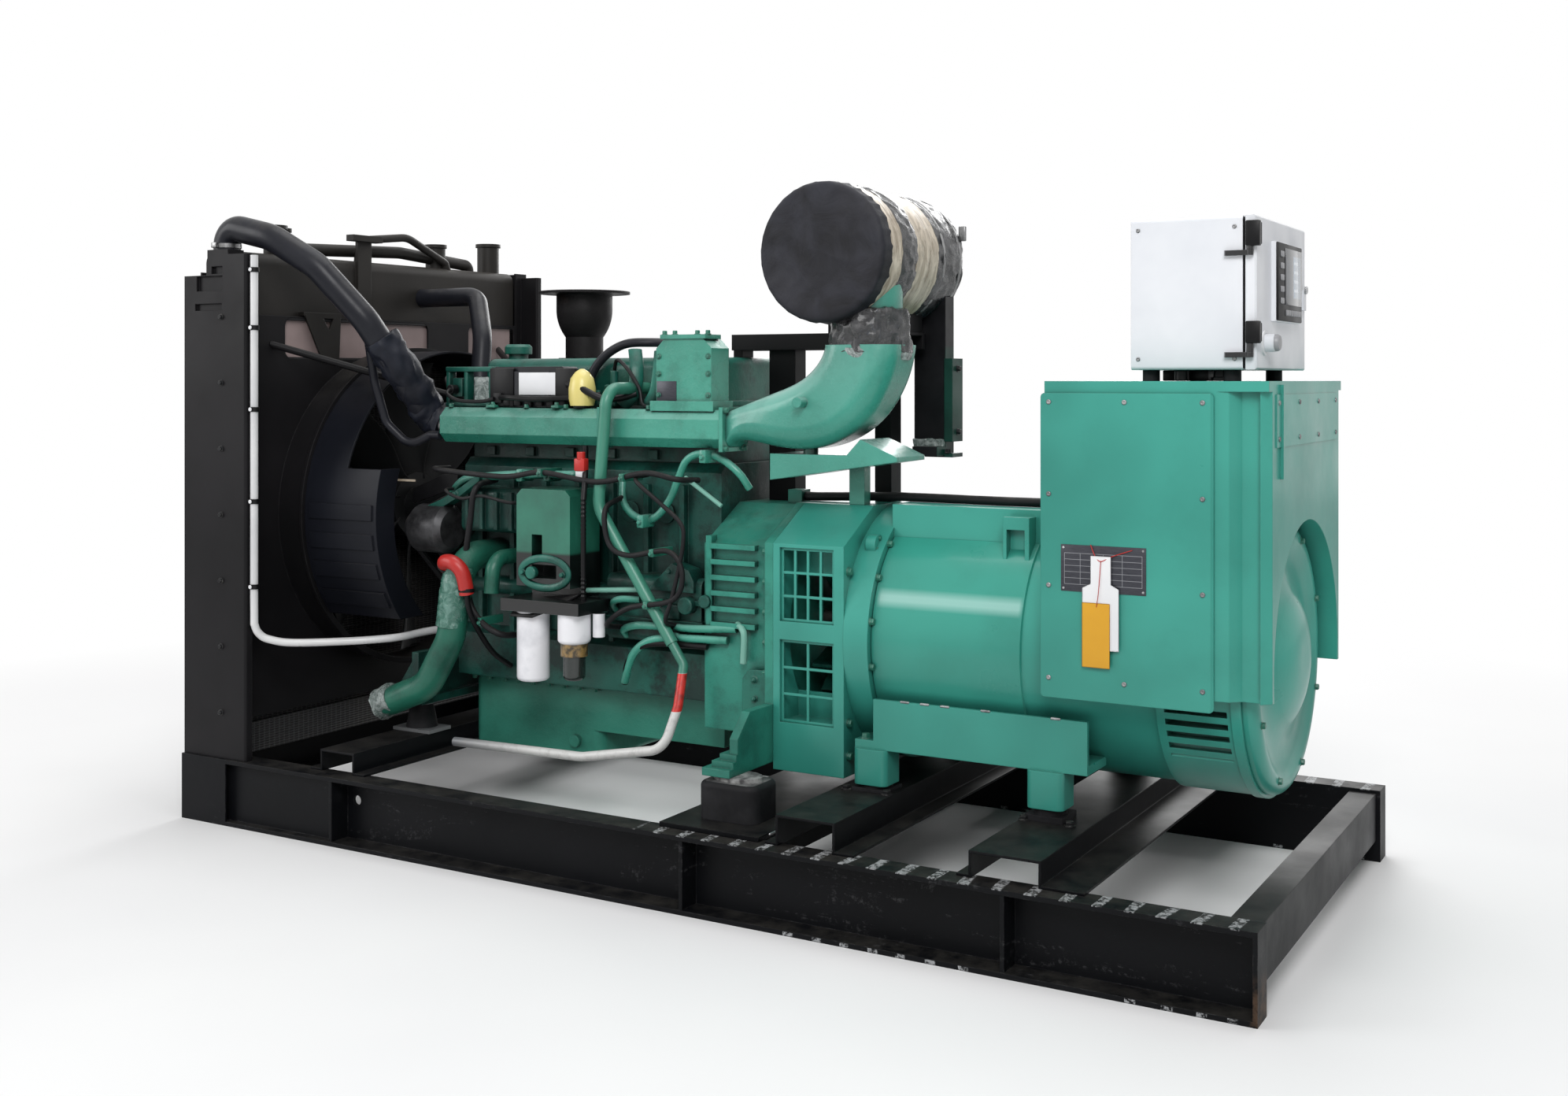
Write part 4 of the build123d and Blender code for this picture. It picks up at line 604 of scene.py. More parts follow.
class Shape:
    """One added piece, gathered from small solids."""

    def __init__(self):
        self.mesh = bmesh.new()

    def take(self, solid, matrix=None):
        """Adds a small mesh, placed by a matrix, and frees it."""
        if matrix:
            bmesh.ops.transform(solid, matrix=matrix, verts=solid.verts)
        scratch = bpy.data.meshes.new("scratch")
        solid.to_mesh(scratch)
        solid.free()
        self.mesh.from_mesh(scratch)
        bpy.data.meshes.remove(scratch)
        return self

    def block(self, low, high, bevel):
        """A box with rounded edges."""
        low, high = Vector(low), Vector(high)
        size = high - low
        solid = bmesh.new()
        bmesh.ops.create_cube(solid, size=1, matrix=Matrix.Diagonal((*size, 1)))
        if bevel:
            bmesh.ops.bevel(solid, geom=solid.edges[:], offset=min(bevel, min(size) * 0.3), segments=2, profile=0.5,
                            affect="EDGES")
        return self.take(solid, Matrix.Translation((low + high) / 2))

    def lathe(self, start, axis, profile, sides=24):
        """Turns (distance, radius) pairs about an axis from a start point."""
        solid = bmesh.new()
        rings = []
        for along, radius in profile:
            angles = turns(sides) if radius else [0]
            rings.append([solid.verts.new((radius * math.cos(a), radius * math.sin(a), along)) for a in angles])
        skin(solid, rings)
        turn = Vector(axis).to_track_quat("Z", "Y").to_matrix().to_4x4()
        return self.take(solid, Matrix.Translation(start) @ turn)

    def rod(self, start, end, radius, sides=20, soft=0.12):
        """A round bar with rounded ends."""
        start, end = Vector(start), Vector(end)
        length = (end - start).length
        cut = min(radius * soft, length * 0.3)
        return self.lathe(start, end - start, [(0, 0), (0, radius - cut), (cut, radius), (length - cut, radius),
                                               (length, radius - cut), (length, 0)], sides)

    def bolt(self, at, out, across=0.016, tall=0.0095, washer=True):
        """A hexagon head with a chamfered top, on a washer."""
        radius = across / 2 / math.cos(math.radians(30))
        lift = 0.002 if washer else 0
        if washer:
            self.lathe(at, out, [(0, radius * 1.22), (lift, radius * 1.22), (lift, 0)], 16)
        start = Vector(at) + Vector(out) * lift
        self.lathe(start, out, [(0, radius), (tall * 0.8, radius), (tall, radius * 0.84), (tall, 0)], 6)

    def stud(self, at, out, across, tall, proud):
        """A nut with its threaded end standing out."""
        self.bolt(at, out, across, tall)
        tip = Vector(at) + Vector(out) * (tall + proud)
        self.rod(Vector(at) + Vector(out) * 0.004, tip, across * 0.3, 10)

    def screw(self, at, out, radius=0.006, tall=0.003):
        """A pan head with a recess in its crown."""
        self.lathe(at, out, [(0, radius), (tall * 0.5, radius), (tall, radius * 0.7), (tall * 0.82, radius * 0.3),
                             (tall * 0.6, 0)], 14)

    def circle(self, x, radius, angles, **sizes):
        """Bolts round the shaft line on a face that looks rearward."""
        for turn in [math.radians(angle) for angle in angles]:
            self.bolt((x, radius * math.cos(turn), SHAFT_Z + radius * math.sin(turn)), REAR, **sizes)

    def sweep(self, places, radius, sides, flat=1.0, closed=False):
        """A tube along points. radius is a number or a function of the share of the way; flat squashes it."""
        places = [Vector(place) for place in places]
        count = len(places)
        solid = bmesh.new()
        rings = []
        side = None
        for i, place in enumerate(places):
            before = places[i - 1] if i or closed else place
            after = places[(i + 1) % count] if i < count - 1 or closed else place
            along = (after - before).normalized()
            if side is None:
                side = along.cross(Vector(UP))
                if side.length < 0.1:
                    side = along.cross(Vector((0, 1, 0)))
            side = (side - along * side.dot(along)).normalized()
            up = along.cross(side)
            size = radius(i / (count - 1)) if callable(radius) else radius
            rings.append([solid.verts.new(place + side * size * math.cos(a) + up * size * flat * math.sin(a))
                          for a in turns(sides)])
        skin(solid, rings + rings[:1] if closed else rings)
        if not closed:
            solid.faces.new(rings[0])
            solid.faces.new(rings[-1])
        return self.take(solid)

    def hose(self, radius, sides, steps, *points, flat=1.0):
        """A tube along a smooth line through the points."""
        return self.sweep(curve(points, steps), radius, sides, flat)

    def slab(self, points, thickness):
        """A flat plate with straight edges and a thickness given as a vector."""
        solid = bmesh.new()
        face = solid.faces.new([solid.verts.new(p) for p in points])
        pushed = bmesh.ops.extrude_face_region(solid, geom=[face])
        moved = [part for part in pushed["geom"] if isinstance(part, bmesh.types.BMVert)]
        bmesh.ops.translate(solid, vec=thickness, verts=moved)
        bmesh.ops.recalc_face_normals(solid, faces=solid.faces[:])
        bmesh.ops.bevel(solid, geom=solid.edges[:], offset=0.0008, segments=1, affect="EDGES")
        return self.take(solid)

    def upright(self, y, thickness, *corners):
        """A slab that faces the near side, from its (x, z) corners."""
        return self.slab([(x, y, z) for x, z in corners], (0, thickness, 0))

    def rumple(self, depth, scale, seed, divide=0):
        """Creases the whole shape along its normals."""
        if divide:
            bmesh.ops.subdivide_edges(self.mesh, edges=self.mesh.edges[:], cuts=divide, use_grid_fill=True)
        self.mesh.normal_update()
        offset = Vector((seed, seed * 1.7, -seed))
        for vert in self.mesh.verts:
            ridge = 1 - abs(noise.noise(vert.co * scale + offset)) * 2
            fine = noise.noise(vert.co * scale * 2.7 - offset)
            vert.co += vert.normal * depth * (ridge * 0.75 + fine * 0.4 - 0.3)
        return self

    def done(self, name, finish, slot, body="set", smooth=35):
        """Makes the object, with its finish and body. The slot argument is not used."""
        data = bpy.data.meshes.new(name)
        bmesh.ops.recalc_face_normals(self.mesh, faces=self.mesh.faces[:])
        self.mesh.to_mesh(data)
        self.mesh.free()
        data.materials.append(finish)
        data.shade_smooth()
        data.set_sharp_from_angle(angle=math.radians(smooth))
        made = bpy.data.objects.new(name, data)
        bpy.context.scene.collection.objects.link(made)
        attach(made, body)
        return made


def fasten_alternator():
    """Bolts round the rings, the end cover, the lid and the feet, and the terminal box's screws."""
    heads = Shape()
    heads.circle(0.5296, 0.3325, (132, 150, 170, 190, 48, 30, 10, -10), across=0.015)
    for at in spots(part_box("drive_adapter")[1].x, (-0.316, 0.316), (0.345, 0.43, 0.82)):
        heads.bolt(at, REAR, across=0.017)
    heads.circle(1.5022, 0.297, spread(22.5, 337.5, 8), across=0.014, tall=0.008)
    for at in spots(0.2236, (-0.3275, 0.3275), (0.54, 0.62, 0.70, 0.78, 0.86)):
        heads.bolt(at, FRONT, across=0.015)
    for foot, y, step in spots((0.5346, 1.0046), (-0.318, 0.318), (-0.022, 0.026)):
        heads.bolt((foot + step, y, 0.397), UP, across=0.02, tall=0.012)
    for side in (-1, 1):
        for turn in [math.radians(angle) for angle in (90, 215, 325)]:
            at = (0.4944 + 0.014, side * 0.235 + 0.017 * math.cos(turn), 0.885 + 0.017 * math.sin(turn))
            heads.bolt(at, REAR, across=0.009, tall=0.005, washer=False)
    heads.done("alternator_bolts", GREEN_BOLT, "alternator_green")
    screws = Shape()
    for at in spots((1.034, 1.218, 1.4), BOX_SIDE_Y, (0.612, 1.262)):
        screws.screw(at, NEAR)
    for z, x in product((0.83, 1.045), (1.034, 1.4)):
        screws.screw((x, BOX_SIDE_Y, z), NEAR)
    for at in spots(1.5486, (-0.30, -0.1, 0.1, 0.30), (1.18, 1.262)):
        screws.screw(at, REAR)
    screws.done("box_screws", ZINC, "alternator_green")


def barrel_cover():
    """The smooth sheet round the stator between its front ring and the terminal box."""
    rows = [(0.5298, 0.3205), (0.532, 0.3262), (0.60, 0.3264), (0.68, 0.3265), (0.76, 0.3265), (0.85, 0.3264),
            (0.93, 0.3262), (0.9345, 0.3255), (0.9375, 0.3198)]
    angles = [math.radians(angle) for angle in spread(-54, 234, 97)]
    sheet = bmesh.new()
    grid = [[sheet.verts.new((x, radius * math.cos(a), SHAFT_Z - radius * math.sin(a))) for a in angles]
            for x, radius in rows]
    for first, second in zip(grid, grid[1:]):
        for i in range(len(angles) - 1):
            sheet.faces.new((first[i], first[i + 1], second[i + 1], second[i]))
    Shape().take(sheet).done("barrel_sheet", BARREL, "alternator_green")


def fasten_engine():
    """Bolts of the covers, the head, the sump, the block and the manifold."""
    heads = Shape()
    for i in range(7):
        for y in (-0.169, 0.179):
            heads.bolt((-0.8504 + i * 0.81 / 6, y, 1.272), UP, across=0.013)
    for at in spots(spread(-0.885, -0.431, 9), (-0.2035, 0.2035), 0.418):
        heads.bolt(at, DOWN, across=0.013)
    for at in spots(0.0906, (-0.3285, -0.23), (1.1285, 1.2325)):
        heads.bolt(at, REAR, across=0.013)
    for at in spots((-0.128, -0.094, -0.02, 0.014), -0.29, 1.438):
        heads.bolt(at, UP, across=0.013)
    for at in spots((-0.138, 0.024), -0.304, (1.272, 1.33, 1.378)):
        heads.bolt(at, NEAR, across=0.011, tall=0.006)
    for at in spots(spread(-0.89, -0.03, 7), -0.304, 1.232):
        heads.bolt(at, UP, across=0.013)
    heads.done("engine_bolts", GREEN_BOLT, "engine_green")


def fasten_frame():
    """Bolts of the mounts, members, radiator sides and guard."""
    heads = Shape()
    for y, x in product((-0.507, 0.507), (0.1956, 0.2956)):
        heads.stud((x, y, 0.206), UP, 0.022, 0.012, 0.012)
    for y, (x, z) in product((-0.345, 0.345), ((0.47, 0.268), (0.585, 0.268), (0.955, 0.255), (1.07, 0.255))):
        heads.bolt((x, y, z), UP, across=0.02)
    for z, side in product(spread(0.33, 1.5, 7), (-1, 1)):
        heads.bolt((-1.44, side * 0.69, z), (0, side, 0), across=0.013, tall=0.0065)
    for at in spots(-1.4057, (-0.62, 0.62), spread(0.36, 1.40, 6)):
        heads.bolt(at, REAR, across=0.012)
    heads.done("frame_bolts", BLACK_BOLT, "frame_black")


def cabinet_parts():
    """The door's hinge covers, display, keys, button and lock, and the cabinet's seal, screws and glands."""
    hinges = Shape()
    for low, high in ((1.6175, 1.6755), (1.3965, 1.4475)):
        hinges.block((1.4768, -0.319, low), (1.509, -0.3004, high), 0.003)
        hinges.block((1.4975, -0.301, low + 0.004), (1.509, -0.2935, high - 0.004), 0.002)
    hinges.done("hinge_covers", BLACK_PLASTIC, "cabinet_white", body="door")
    Shape().block((DOOR_X - 0.004, -0.162, 1.453), (DOOR_X + 0.0045, 0.076, 1.637), 0.003).done(
        "display_frame", BLACK_PLASTIC, "cabinet_white", body="door")
    Shape().block((DOOR_X + 0.0046, -0.098, 1.492), (DOOR_X + 0.0062, 0.066, 1.626), 0.0006).done(
        "display_glass", DISPLAY, "cabinet_white", body="door")
    keys = Shape()
    for y in spread(-0.085, 0.053, 7):
        keys.block((DOOR_X + 0.004, y - 0.007, 1.466), (DOOR_X + 0.0085, y + 0.007, 1.48), 0.002)
    for z in spread(1.50, 1.61, 5):
        keys.block((DOOR_X + 0.004, -0.143, z - 0.007), (DOOR_X + 0.0085, -0.118, z + 0.007), 0.002)
    keys.done("display_keys", GREY_PLASTIC, "cabinet_white", body="door")
    Shape().lathe((1.5231, -0.23, 1.399), REAR, [(0, 0.0195), (0.006, 0.0195), (0.011, 0.0165), (0.0125, 0)],
                  28).done("push_button", GREY_PLASTIC, "cabinet_white", body="door")
    Shape().lathe((1.4977, -0.23, 1.399), REAR, [(0, 0.029), (0.004, 0.029), (0.0045, 0.0215), (0.0005, 0.0215)],
                  32).done("button_collar", WHITE_CARD, "cabinet_white", body="door")
    lock = Shape()
    lock.lathe((1.5056, 0.149, 1.538), REAR, [(0, 0.0105), (0.004, 0.0105), (0.006, 0.008), (0.006, 0)])
    lock.block((1.5114, 0.1475, 1.533), (1.5122, 0.1505, 1.543), 0)
    lock.done("door_lock", BRIGHT, "cabinet_white", body="door")
    edge = Shape()
    for y0, y1, z0, z1 in ((-0.292, -0.287, 1.347, 1.68), (0.17, 0.175, 1.347, 1.68), (-0.287, 0.17, 1.347, 1.352),
                           (-0.287, 0.17, 1.675, 1.68)):
        edge.block((1.4668, y0, z0), (1.4721, y1, z1), 0.001)
    edge.done("door_seal", RUBBER, "cabinet_white")
    screws = Shape()
    for z, x in product((1.362, 1.664), (1.222, 1.448)):
        screws.screw((x, -0.3, z), NEAR, 0.005)
    for z in (1.405, 1.62):
        screws.screw((1.497, -0.285, z + 0.014), REAR, 0.004)
    screws.done("cabinet_screws", ZINC, "cabinet_white")
    under = Shape()
    under.block((1.25, -0.20, 1.3115), (1.36, 0.08, 1.3366), 0.002)
    under.rod((1.31, -0.245, 1.3118), (1.31, -0.245, 1.3365), 0.017)
    under.lathe((1.4, -0.235, 1.3115), UP, [(0, 0.024), (0.008, 0.024), (0.009, 0.019), (0.0248, 0.017),
                                            (0.0249, 0)], 6)
    under.done("cabinet_glands", BLACK_PLASTIC, "rubber_black")


def cards():
    """The rating plate, tags, string and labels, all without words."""
    Shape().block((1.065, -0.3917, 0.819), (1.27, -0.3903, 0.928), 0.0006).done(
        "rating_plate", PLATE, "bare_aluminium")
    rivets = Shape()
    for at in spots((1.0715, 1.2635), -0.3917, (0.826, 0.921)):
        rivets.screw(at, NEAR, 0.003, 0.0015)
    rivets.done("plate_rivets", BRIGHT, "bare_aluminium")
    Shape().upright(-0.3985, 0.0006, (1.12, 0.687), (1.208, 0.687), (1.208, 0.83), (1.189, 0.84), (1.189, 0.905),
                    (1.14, 0.905), (1.14, 0.84), (1.12, 0.83)).done("hanging_tag", WHITE_CARD, "white_pipe")
    Shape().upright(-0.4005, 0.0006, (1.12, 0.646), (1.187, 0.646), (1.187, 0.796), (1.12, 0.796)).done(
        "caution_card", ORANGE_CARD, "white_pipe")
    string = Shape()
    string.hose(0.0011, 8, 6, (1.138, -0.3925, 0.93), (1.15, -0.3955, 0.905), (1.165, -0.3992, 0.893),
                (1.19, -0.396, 0.905), (1.238, -0.3925, 0.922))
    string.hose(0.0009, 8, 6, (1.165, -0.3992, 0.893), (1.16, -0.4012, 0.82), (1.155, -0.4012, 0.787))
    string.done("tag_string", RED, "white_pipe")
    Shape().block((-0.635, -0.3014, 1.27), (-0.5, -0.2984, 1.335), 0.0008).done(
        "unit_label", WHITE_CARD, "white_pipe")
    Shape().block((-0.145, -0.3052, 1.252), (-0.08, -0.3036, 1.31), 0.0006).done(
        "cover_plate", PLATE, "bare_aluminium")


def unit_parts():
    """The control unit's plugs, feet, cap and foil, and the bracket, hose, bands and lines around it."""
    plugs = Shape()
    plugs.block((-0.744, -0.3025, 1.236), (-0.655, -0.2905, 1.348), 0.004)
    plugs.block((-0.502, -0.3025, 1.258), (-0.43, -0.2905, 1.347), 0.005)
    plugs.block((-0.725, -0.3105, 1.246), (-0.694, -0.302, 1.276), 0.003)
    for x in (-0.68, -0.64, -0.60, -0.56, -0.52):
        plugs.block((x - 0.012, -0.305, 1.2385), (x + 0.012, -0.293, 1.258), 0.002)
    plugs.hose(0.008, 12, 6, (-0.70, -0.306, 1.262), (-0.65, -0.322, 1.262), (-0.58, -0.318, 1.258),
               (-0.5, -0.31, 1.26), (-0.43, -0.29, 1.262), (-0.37, -0.26, 1.272))
    plugs.hose(0.010, 12, 6, (-0.455, -0.302, 1.30), (-0.40, -0.315, 1.29), (-0.34, -0.30, 1.262),
               (-0.30, -0.27, 1.262), (-0.26, -0.24, 1.275))
    plugs.rod((-0.413, -0.29, 1.2325), (-0.413, -0.29, 1.242), 0.026)
    plugs.done("unit_plugs", BLACK_PLASTIC, "rubber_black")
    feet = Shape()
    for x in (-0.725, -0.49):
        feet.block((x - 0.013, -0.32, 1.2325), (x + 0.013, -0.285, 1.2405), 0.002)
        feet.bolt((x, -0.309, 1.2405), UP, across=0.011, tall=0.007)
    feet.done("unit_feet", GREEN_BOLT, "engine_green")
    Shape().lathe((-0.413, -0.29, 1.24), UP, [(0, 0), (0, 0.034), (0.02, 0.0385), (0.05, 0.039), (0.078, 0.033),
                                              (0.096, 0.02), (0.105, 0.006), (0.1055, 0)], 32).done(
        "pale_cap", YELLOW_CAP, "white_pipe")
    Shape().block((-0.838, -0.262, 1.238), (-0.777, -0.252, 1.322), 0.003).rumple(0.003, 60, 2.0, divide=6).done(
        "foil_wrap", CLEAR_FILM, "bare_aluminium")
    bracket = Shape()
    for z0, z1 in ((1.2325, 1.246), (1.338, 1.353)):
        bracket.block((-0.94, -0.275, z0), (-0.76, -0.235, z1), 0.003)
    for x in (-0.94, -0.87, -0.774):
        bracket.block((x, -0.272, 1.245), (x + 0.014, -0.24, 1.339), 0.003)
    bracket.block((-0.925, -0.262, 1.262), (-0.885, -0.245, 1.32), 0.006)
    bracket.done("front_bracket", ENGINE_GREEN, "engine_green")
    sensor = Shape()
    sensor.rod((-0.905, -0.268, 1.285), (-0.905, -0.295, 1.285), 0.014)
    sensor.hose(0.006, 10, 6, (-0.905, -0.293, 1.285), (-0.89, -0.32, 1.27), (-0.84, -0.325, 1.252),
                (-0.76, -0.318, 1.25), (-0.72, -0.312, 1.258))
    sensor.done("front_sensor", BLACK_PLASTIC, "rubber_black")
    Shape().hose(0.013, 14, 8, (-0.454, -0.215, 1.236), (-0.456, -0.20, 1.30), (-0.44, -0.19, 1.35),
                 (-0.40, -0.18, 1.392), (-0.34, -0.175, 1.418), (-0.26, -0.172, 1.421), (-0.175, -0.2, 1.416),
                 (-0.148, -0.215, 1.40)).done("arch_hose", HOSE_RUBBER, "rubber_black")
    band = Shape()
    band.hose(0.02, 14, 8, (-0.285, -0.21, 1.40), (-0.262, -0.235, 1.345), (-0.264, -0.245, 1.28),
              (-0.30, -0.25, 1.238), flat=0.3)
    band.hose(0.016, 14, 8, (-0.20, -0.21, 1.395), (-0.185, -0.24, 1.34), (-0.19, -0.25, 1.28),
              (-0.215, -0.255, 1.236), flat=0.35)
    band.block((-0.375, -0.24, 1.236), (-0.335, -0.19, 1.30), 0.006)
    band.rod((-0.355, -0.215, 1.295), (-0.355, -0.215, 1.34), 0.012)
    band.done("curved_bands", ENGINE_GREEN, "engine_green")
    lines = Shape()
    lines.hose(0.0055, 10, 8, (-0.355, -0.215, 1.335), (-0.33, -0.235, 1.37), (-0.28, -0.255, 1.345),
               (-0.235, -0.262, 1.29), (-0.215, -0.27, 1.243), (-0.17, -0.275, 1.239))
    lines.hose(0.0055, 10, 6, (-0.98, -0.19, 1.335), (-0.97, -0.235, 1.32), (-0.95, -0.255, 1.30),
               (-0.93, -0.26, 1.27))
    lines.done("top_lines", BLACK_PLASTIC, "rubber_black")


def side_parts():
    """Pipes, brackets, conduit and straps on the engine's near side."""
    conduit = Shape()
    conduit.sweep([(-0.324, -0.402, z) for z in spread(0.713, 0.983, 46)],
                  lambda share: 0.0075 + 0.0012 * math.cos(share * 46 * math.pi), 12)
    conduit.hose(0.0085, 12, 8, (-0.324, -0.402, 0.98), (-0.332, -0.385, 1.03), (-0.355, -0.352, 1.07),
                 (-0.36, -0.345, 1.128))
    conduit.hose(0.0075, 12, 6, (-0.324, -0.402, 0.715), (-0.322, -0.398, 0.69), (-0.30, -0.39, 0.68))
    conduit.done("side_conduit", BLACK_PLASTIC, "rubber_black")
    Shape().slab([(-0.575, -0.388, 0.683), (-0.56, -0.4045, 0.664), (-0.527, -0.470, 0.652), (-0.45, -0.4705, 0.653),
                  (-0.43, -0.44, 0.664), (-0.39, -0.44, 0.683), (-0.34, -0.404, 0.712), (-0.34, -0.388, 0.712)],
                 (0, 0, 0.007)).done("filter_strap", BLACK_PLASTIC, "rubber_black")
    oval = Shape()
    oval.sweep([(-0.46 + 0.083 * math.cos(a), -0.402, 0.77 + 0.042 * math.sin(a)) for a in turns(40)],
               0.011, 10, flat=0.6, closed=True)
    oval.rod((-0.50, -0.40, 0.77), (-0.50, -0.418, 0.77), 0.018)
    for x in (-0.53, -0.39):
        oval.bolt((x, -0.409, 0.77), NEAR, across=0.012)
    oval.done("oval_bracket", ENGINE_GREEN, "engine_green")
    rods = Shape()
    rods.rod((-0.372, -0.345, 0.721), (-0.19, -0.325, 0.733), 0.0075)
    rods.rod((-0.036, -0.328, 1.049), (0.078, -0.322, 0.974), 0.006)
    rods.hose(0.009, 10, 6, (0.128, -0.322, 0.66), (0.15, -0.335, 0.652), (0.16, -0.34, 0.63),
              (0.156, -0.338, 0.56))
    rods.done("pale_rods", PALE_GREEN, "engine_green")
    pipes = Shape()
    pipes.hose(0.0105, 14, 8, (-0.275, -0.285, 1.03), (-0.262, -0.30, 0.975), (-0.227, -0.305, 0.938),
               (-0.175, -0.305, 0.925), (-0.135, -0.305, 0.944), (-0.098, -0.305, 0.99), (-0.07, -0.305, 1.05),
               (-0.045, -0.305, 1.094), (0.0, -0.305, 1.113), (0.06, -0.302, 1.102), (0.115, -0.295, 1.064),
               (0.135, -0.27, 1.02))
    pipes.hose(0.011, 14, 8, (-0.25, -0.30, 0.60), (-0.24, -0.325, 0.62), (-0.19, -0.332, 0.635),
               (-0.10, -0.333, 0.638), (0.0, -0.333, 0.64), (0.128, -0.325, 0.648))
    pipes.hose(0.0115, 14, 8, (-0.233, -0.335, 0.474), (-0.20, -0.345, 0.55), (-0.15, -0.345, 0.594),
               (-0.08, -0.34, 0.61), (0.0, -0.335, 0.613), (0.10, -0.325, 0.615))
    pipes.hose(0.0125, 14, 8, (-0.909, -0.30, 0.933), (-0.86, -0.325, 0.985), (-0.815, -0.33, 1.018),
               (-0.754, -0.33, 1.028), (-0.60, -0.33, 1.04), (-0.443, -0.33, 1.043), (-0.41, -0.31, 1.045))
    pipes.hose(0.010, 12, 8, (-0.28, -0.30, 0.66), (-0.275, -0.33, 0.69), (-0.245, -0.335, 0.704),
               (-0.19, -0.32, 0.705))
    for x, z in ((-0.60, 1.04), (-0.50, 1.043), (0.03, 1.109), (-0.175, 0.925), (-0.06, 0.61)):
        pipes.block((x - 0.011, -0.345, z - 0.02), (x + 0.011, -0.285, z + 0.016), 0.004)
        pipes.bolt((x, -0.345, z - 0.004), NEAR, across=0.011, tall=0.006)
    pipes.done("side_pipes", MANIFOLD_GREEN, "engine_green")
    bracket = Shape()
    bracket.upright(-0.352, 0.045, (-0.978, 0.905), (-0.978, 0.925), (-0.891, 0.958), (-0.815, 0.996),
                    (-0.742, 1.04), (-0.742, 1.018), (-0.815, 0.972), (-0.891, 0.932))
    for x, z in ((-0.96, 0.922), (-0.83, 0.977)):
        bracket.bolt((x, -0.352, z), NEAR, across=0.014)
    bracket.done("belt_bracket", ENGINE_GREEN, "engine_green")
    black = Shape()
    black.upright(-0.322, 0.012, (-1.028, 0.94), (-0.85, 0.995), (-0.85, 1.033), (-0.905, 1.033), (-1.028, 0.985))
    black.hose(0.0085, 12, 8, (-0.232, -0.335, 0.47), (-0.215, -0.345, 0.53), (-0.175, -0.348, 0.576),
               (-0.118, -0.345, 0.592), (-0.04, -0.341, 0.594), (0.041, -0.335, 0.594))
    black.done("black_lines", BLACK_PLASTIC, "rubber_black")
    Shape().block((-0.375, -0.3716, 1.031), (-0.345, -0.3702, 1.06), 0.0005).done(
        "line_tag", WHITE_CARD, "white_pipe")
    fitting = Shape()
    fitting.block((-0.378, -0.376, 1.058), (-0.342, -0.352, 1.094), 0.004)
    fitting.rod((-0.36, -0.365, 1.09), (-0.36, -0.365, 1.112), 0.012)
    fitting.done("tag_fitting", RED, "white_pipe")
    cone = Shape()
    cone.upright(-0.322, 0.06, (-0.165, 0.734), (-0.085, 0.811), (-0.03, 0.795), (-0.013, 0.765), (-0.013, 0.733))
    for x, z in ((-0.09, 0.79), (-0.04, 0.76)):
        cone.bolt((x, -0.322, z), NEAR, across=0.013)
    cone.block((-0.16, -0.322, 0.655), (-0.06, -0.27, 0.70), 0.008)
    cone.rod((-0.03, -0.30, 0.70), (-0.03, -0.342, 0.70), 0.024)
    cone.rod((0.03, -0.30, 0.715), (0.03, -0.338, 0.715), 0.018)
    cone.done("side_castings", CAST_GREEN, "cast_green")
    plate = Shape()
    plate.upright(-0.3345, 0.006, (0.151, 0.315), (0.222, 0.315), (0.222, 0.546), (0.172, 0.546), (0.151, 0.52))
    for z in (0.345, 0.40, 0.47, 0.52):
        plate.stud((0.19, -0.3345, z), NEAR, 0.013, 0.008, 0.005)
    plate.done("housing_plate", ENGINE_GREEN, "engine_green")


def engine_wires():
    """Dark looms and small hoses clipped over the near side of the cylinder block."""
    looms = Shape()
    for radius, *route in (
            (0.0075, (-0.265, -0.30, 0.985), (-0.262, -0.385, 0.955), (-0.246, -0.39, 0.863), (-0.18, -0.39, 0.834),
             (-0.05, -0.39, 0.852), (-0.004, -0.39, 0.796), (-0.034, -0.39, 0.722), (-0.18, -0.39, 0.69),
             (-0.255, -0.385, 0.64), (-0.263, -0.30, 0.62)),
            (0.006, (-0.177, -0.30, 1.05), (-0.16, -0.385, 1.04), (-0.073, -0.39, 0.979), (-0.01, -0.39, 0.93),
             (0.0, -0.39, 0.882), (-0.02, -0.39, 0.787), (-0.04, -0.39, 0.718), (-0.06, -0.385, 0.66),
             (-0.062, -0.30, 0.64)),
            (0.009, (-0.72, -0.30, 1.02), (-0.725, -0.385, 1.0), (-0.742, -0.39, 0.907), (-0.76, -0.39, 0.769),
             (-0.731, -0.39, 0.645), (-0.64, -0.388, 0.585), (-0.60, -0.30, 0.575)),
            (0.008, (-0.90, -0.30, 1.05), (-0.88, -0.38, 1.05), (-0.626, -0.385, 1.036), (-0.483, -0.385, 1.052),
             (-0.29, -0.385, 1.031), (-0.131, -0.385, 1.06), (-0.03, -0.38, 1.046), (-0.01, -0.30, 1.04)),
            (0.005, (-0.86, -0.30, 0.99), (-0.84, -0.385, 0.99), (-0.78, -0.388, 0.968), (-0.70, -0.388, 0.978),
             (-0.60, -0.385, 0.962), (-0.585, -0.30, 0.96))):
        looms.hose(radius, 12, 8, *route)
    looms.done("engine_wires", HARNESS_RUBBER, "rubber_black")
    clips = Shape()
    for x, z, size in ((-0.483, 1.052, 0.011), (-0.20, 1.046, 0.011), (-0.76, 0.80, 0.012), (-0.10, 0.845, 0.0105),
                       (-0.12, 0.702, 0.0105), (-0.70, 0.615, 0.012)):
        front = -0.3885 - size
        clips.block((x - 0.007, front, z - size), (x + 0.007, -0.30, z + size), 0.002)
        clips.bolt((x, front, z - size * 0.2), NEAR, across=0.009, tall=0.005)
    clips.done("engine_wire_clips", GREEN_BOLT, "engine_green")


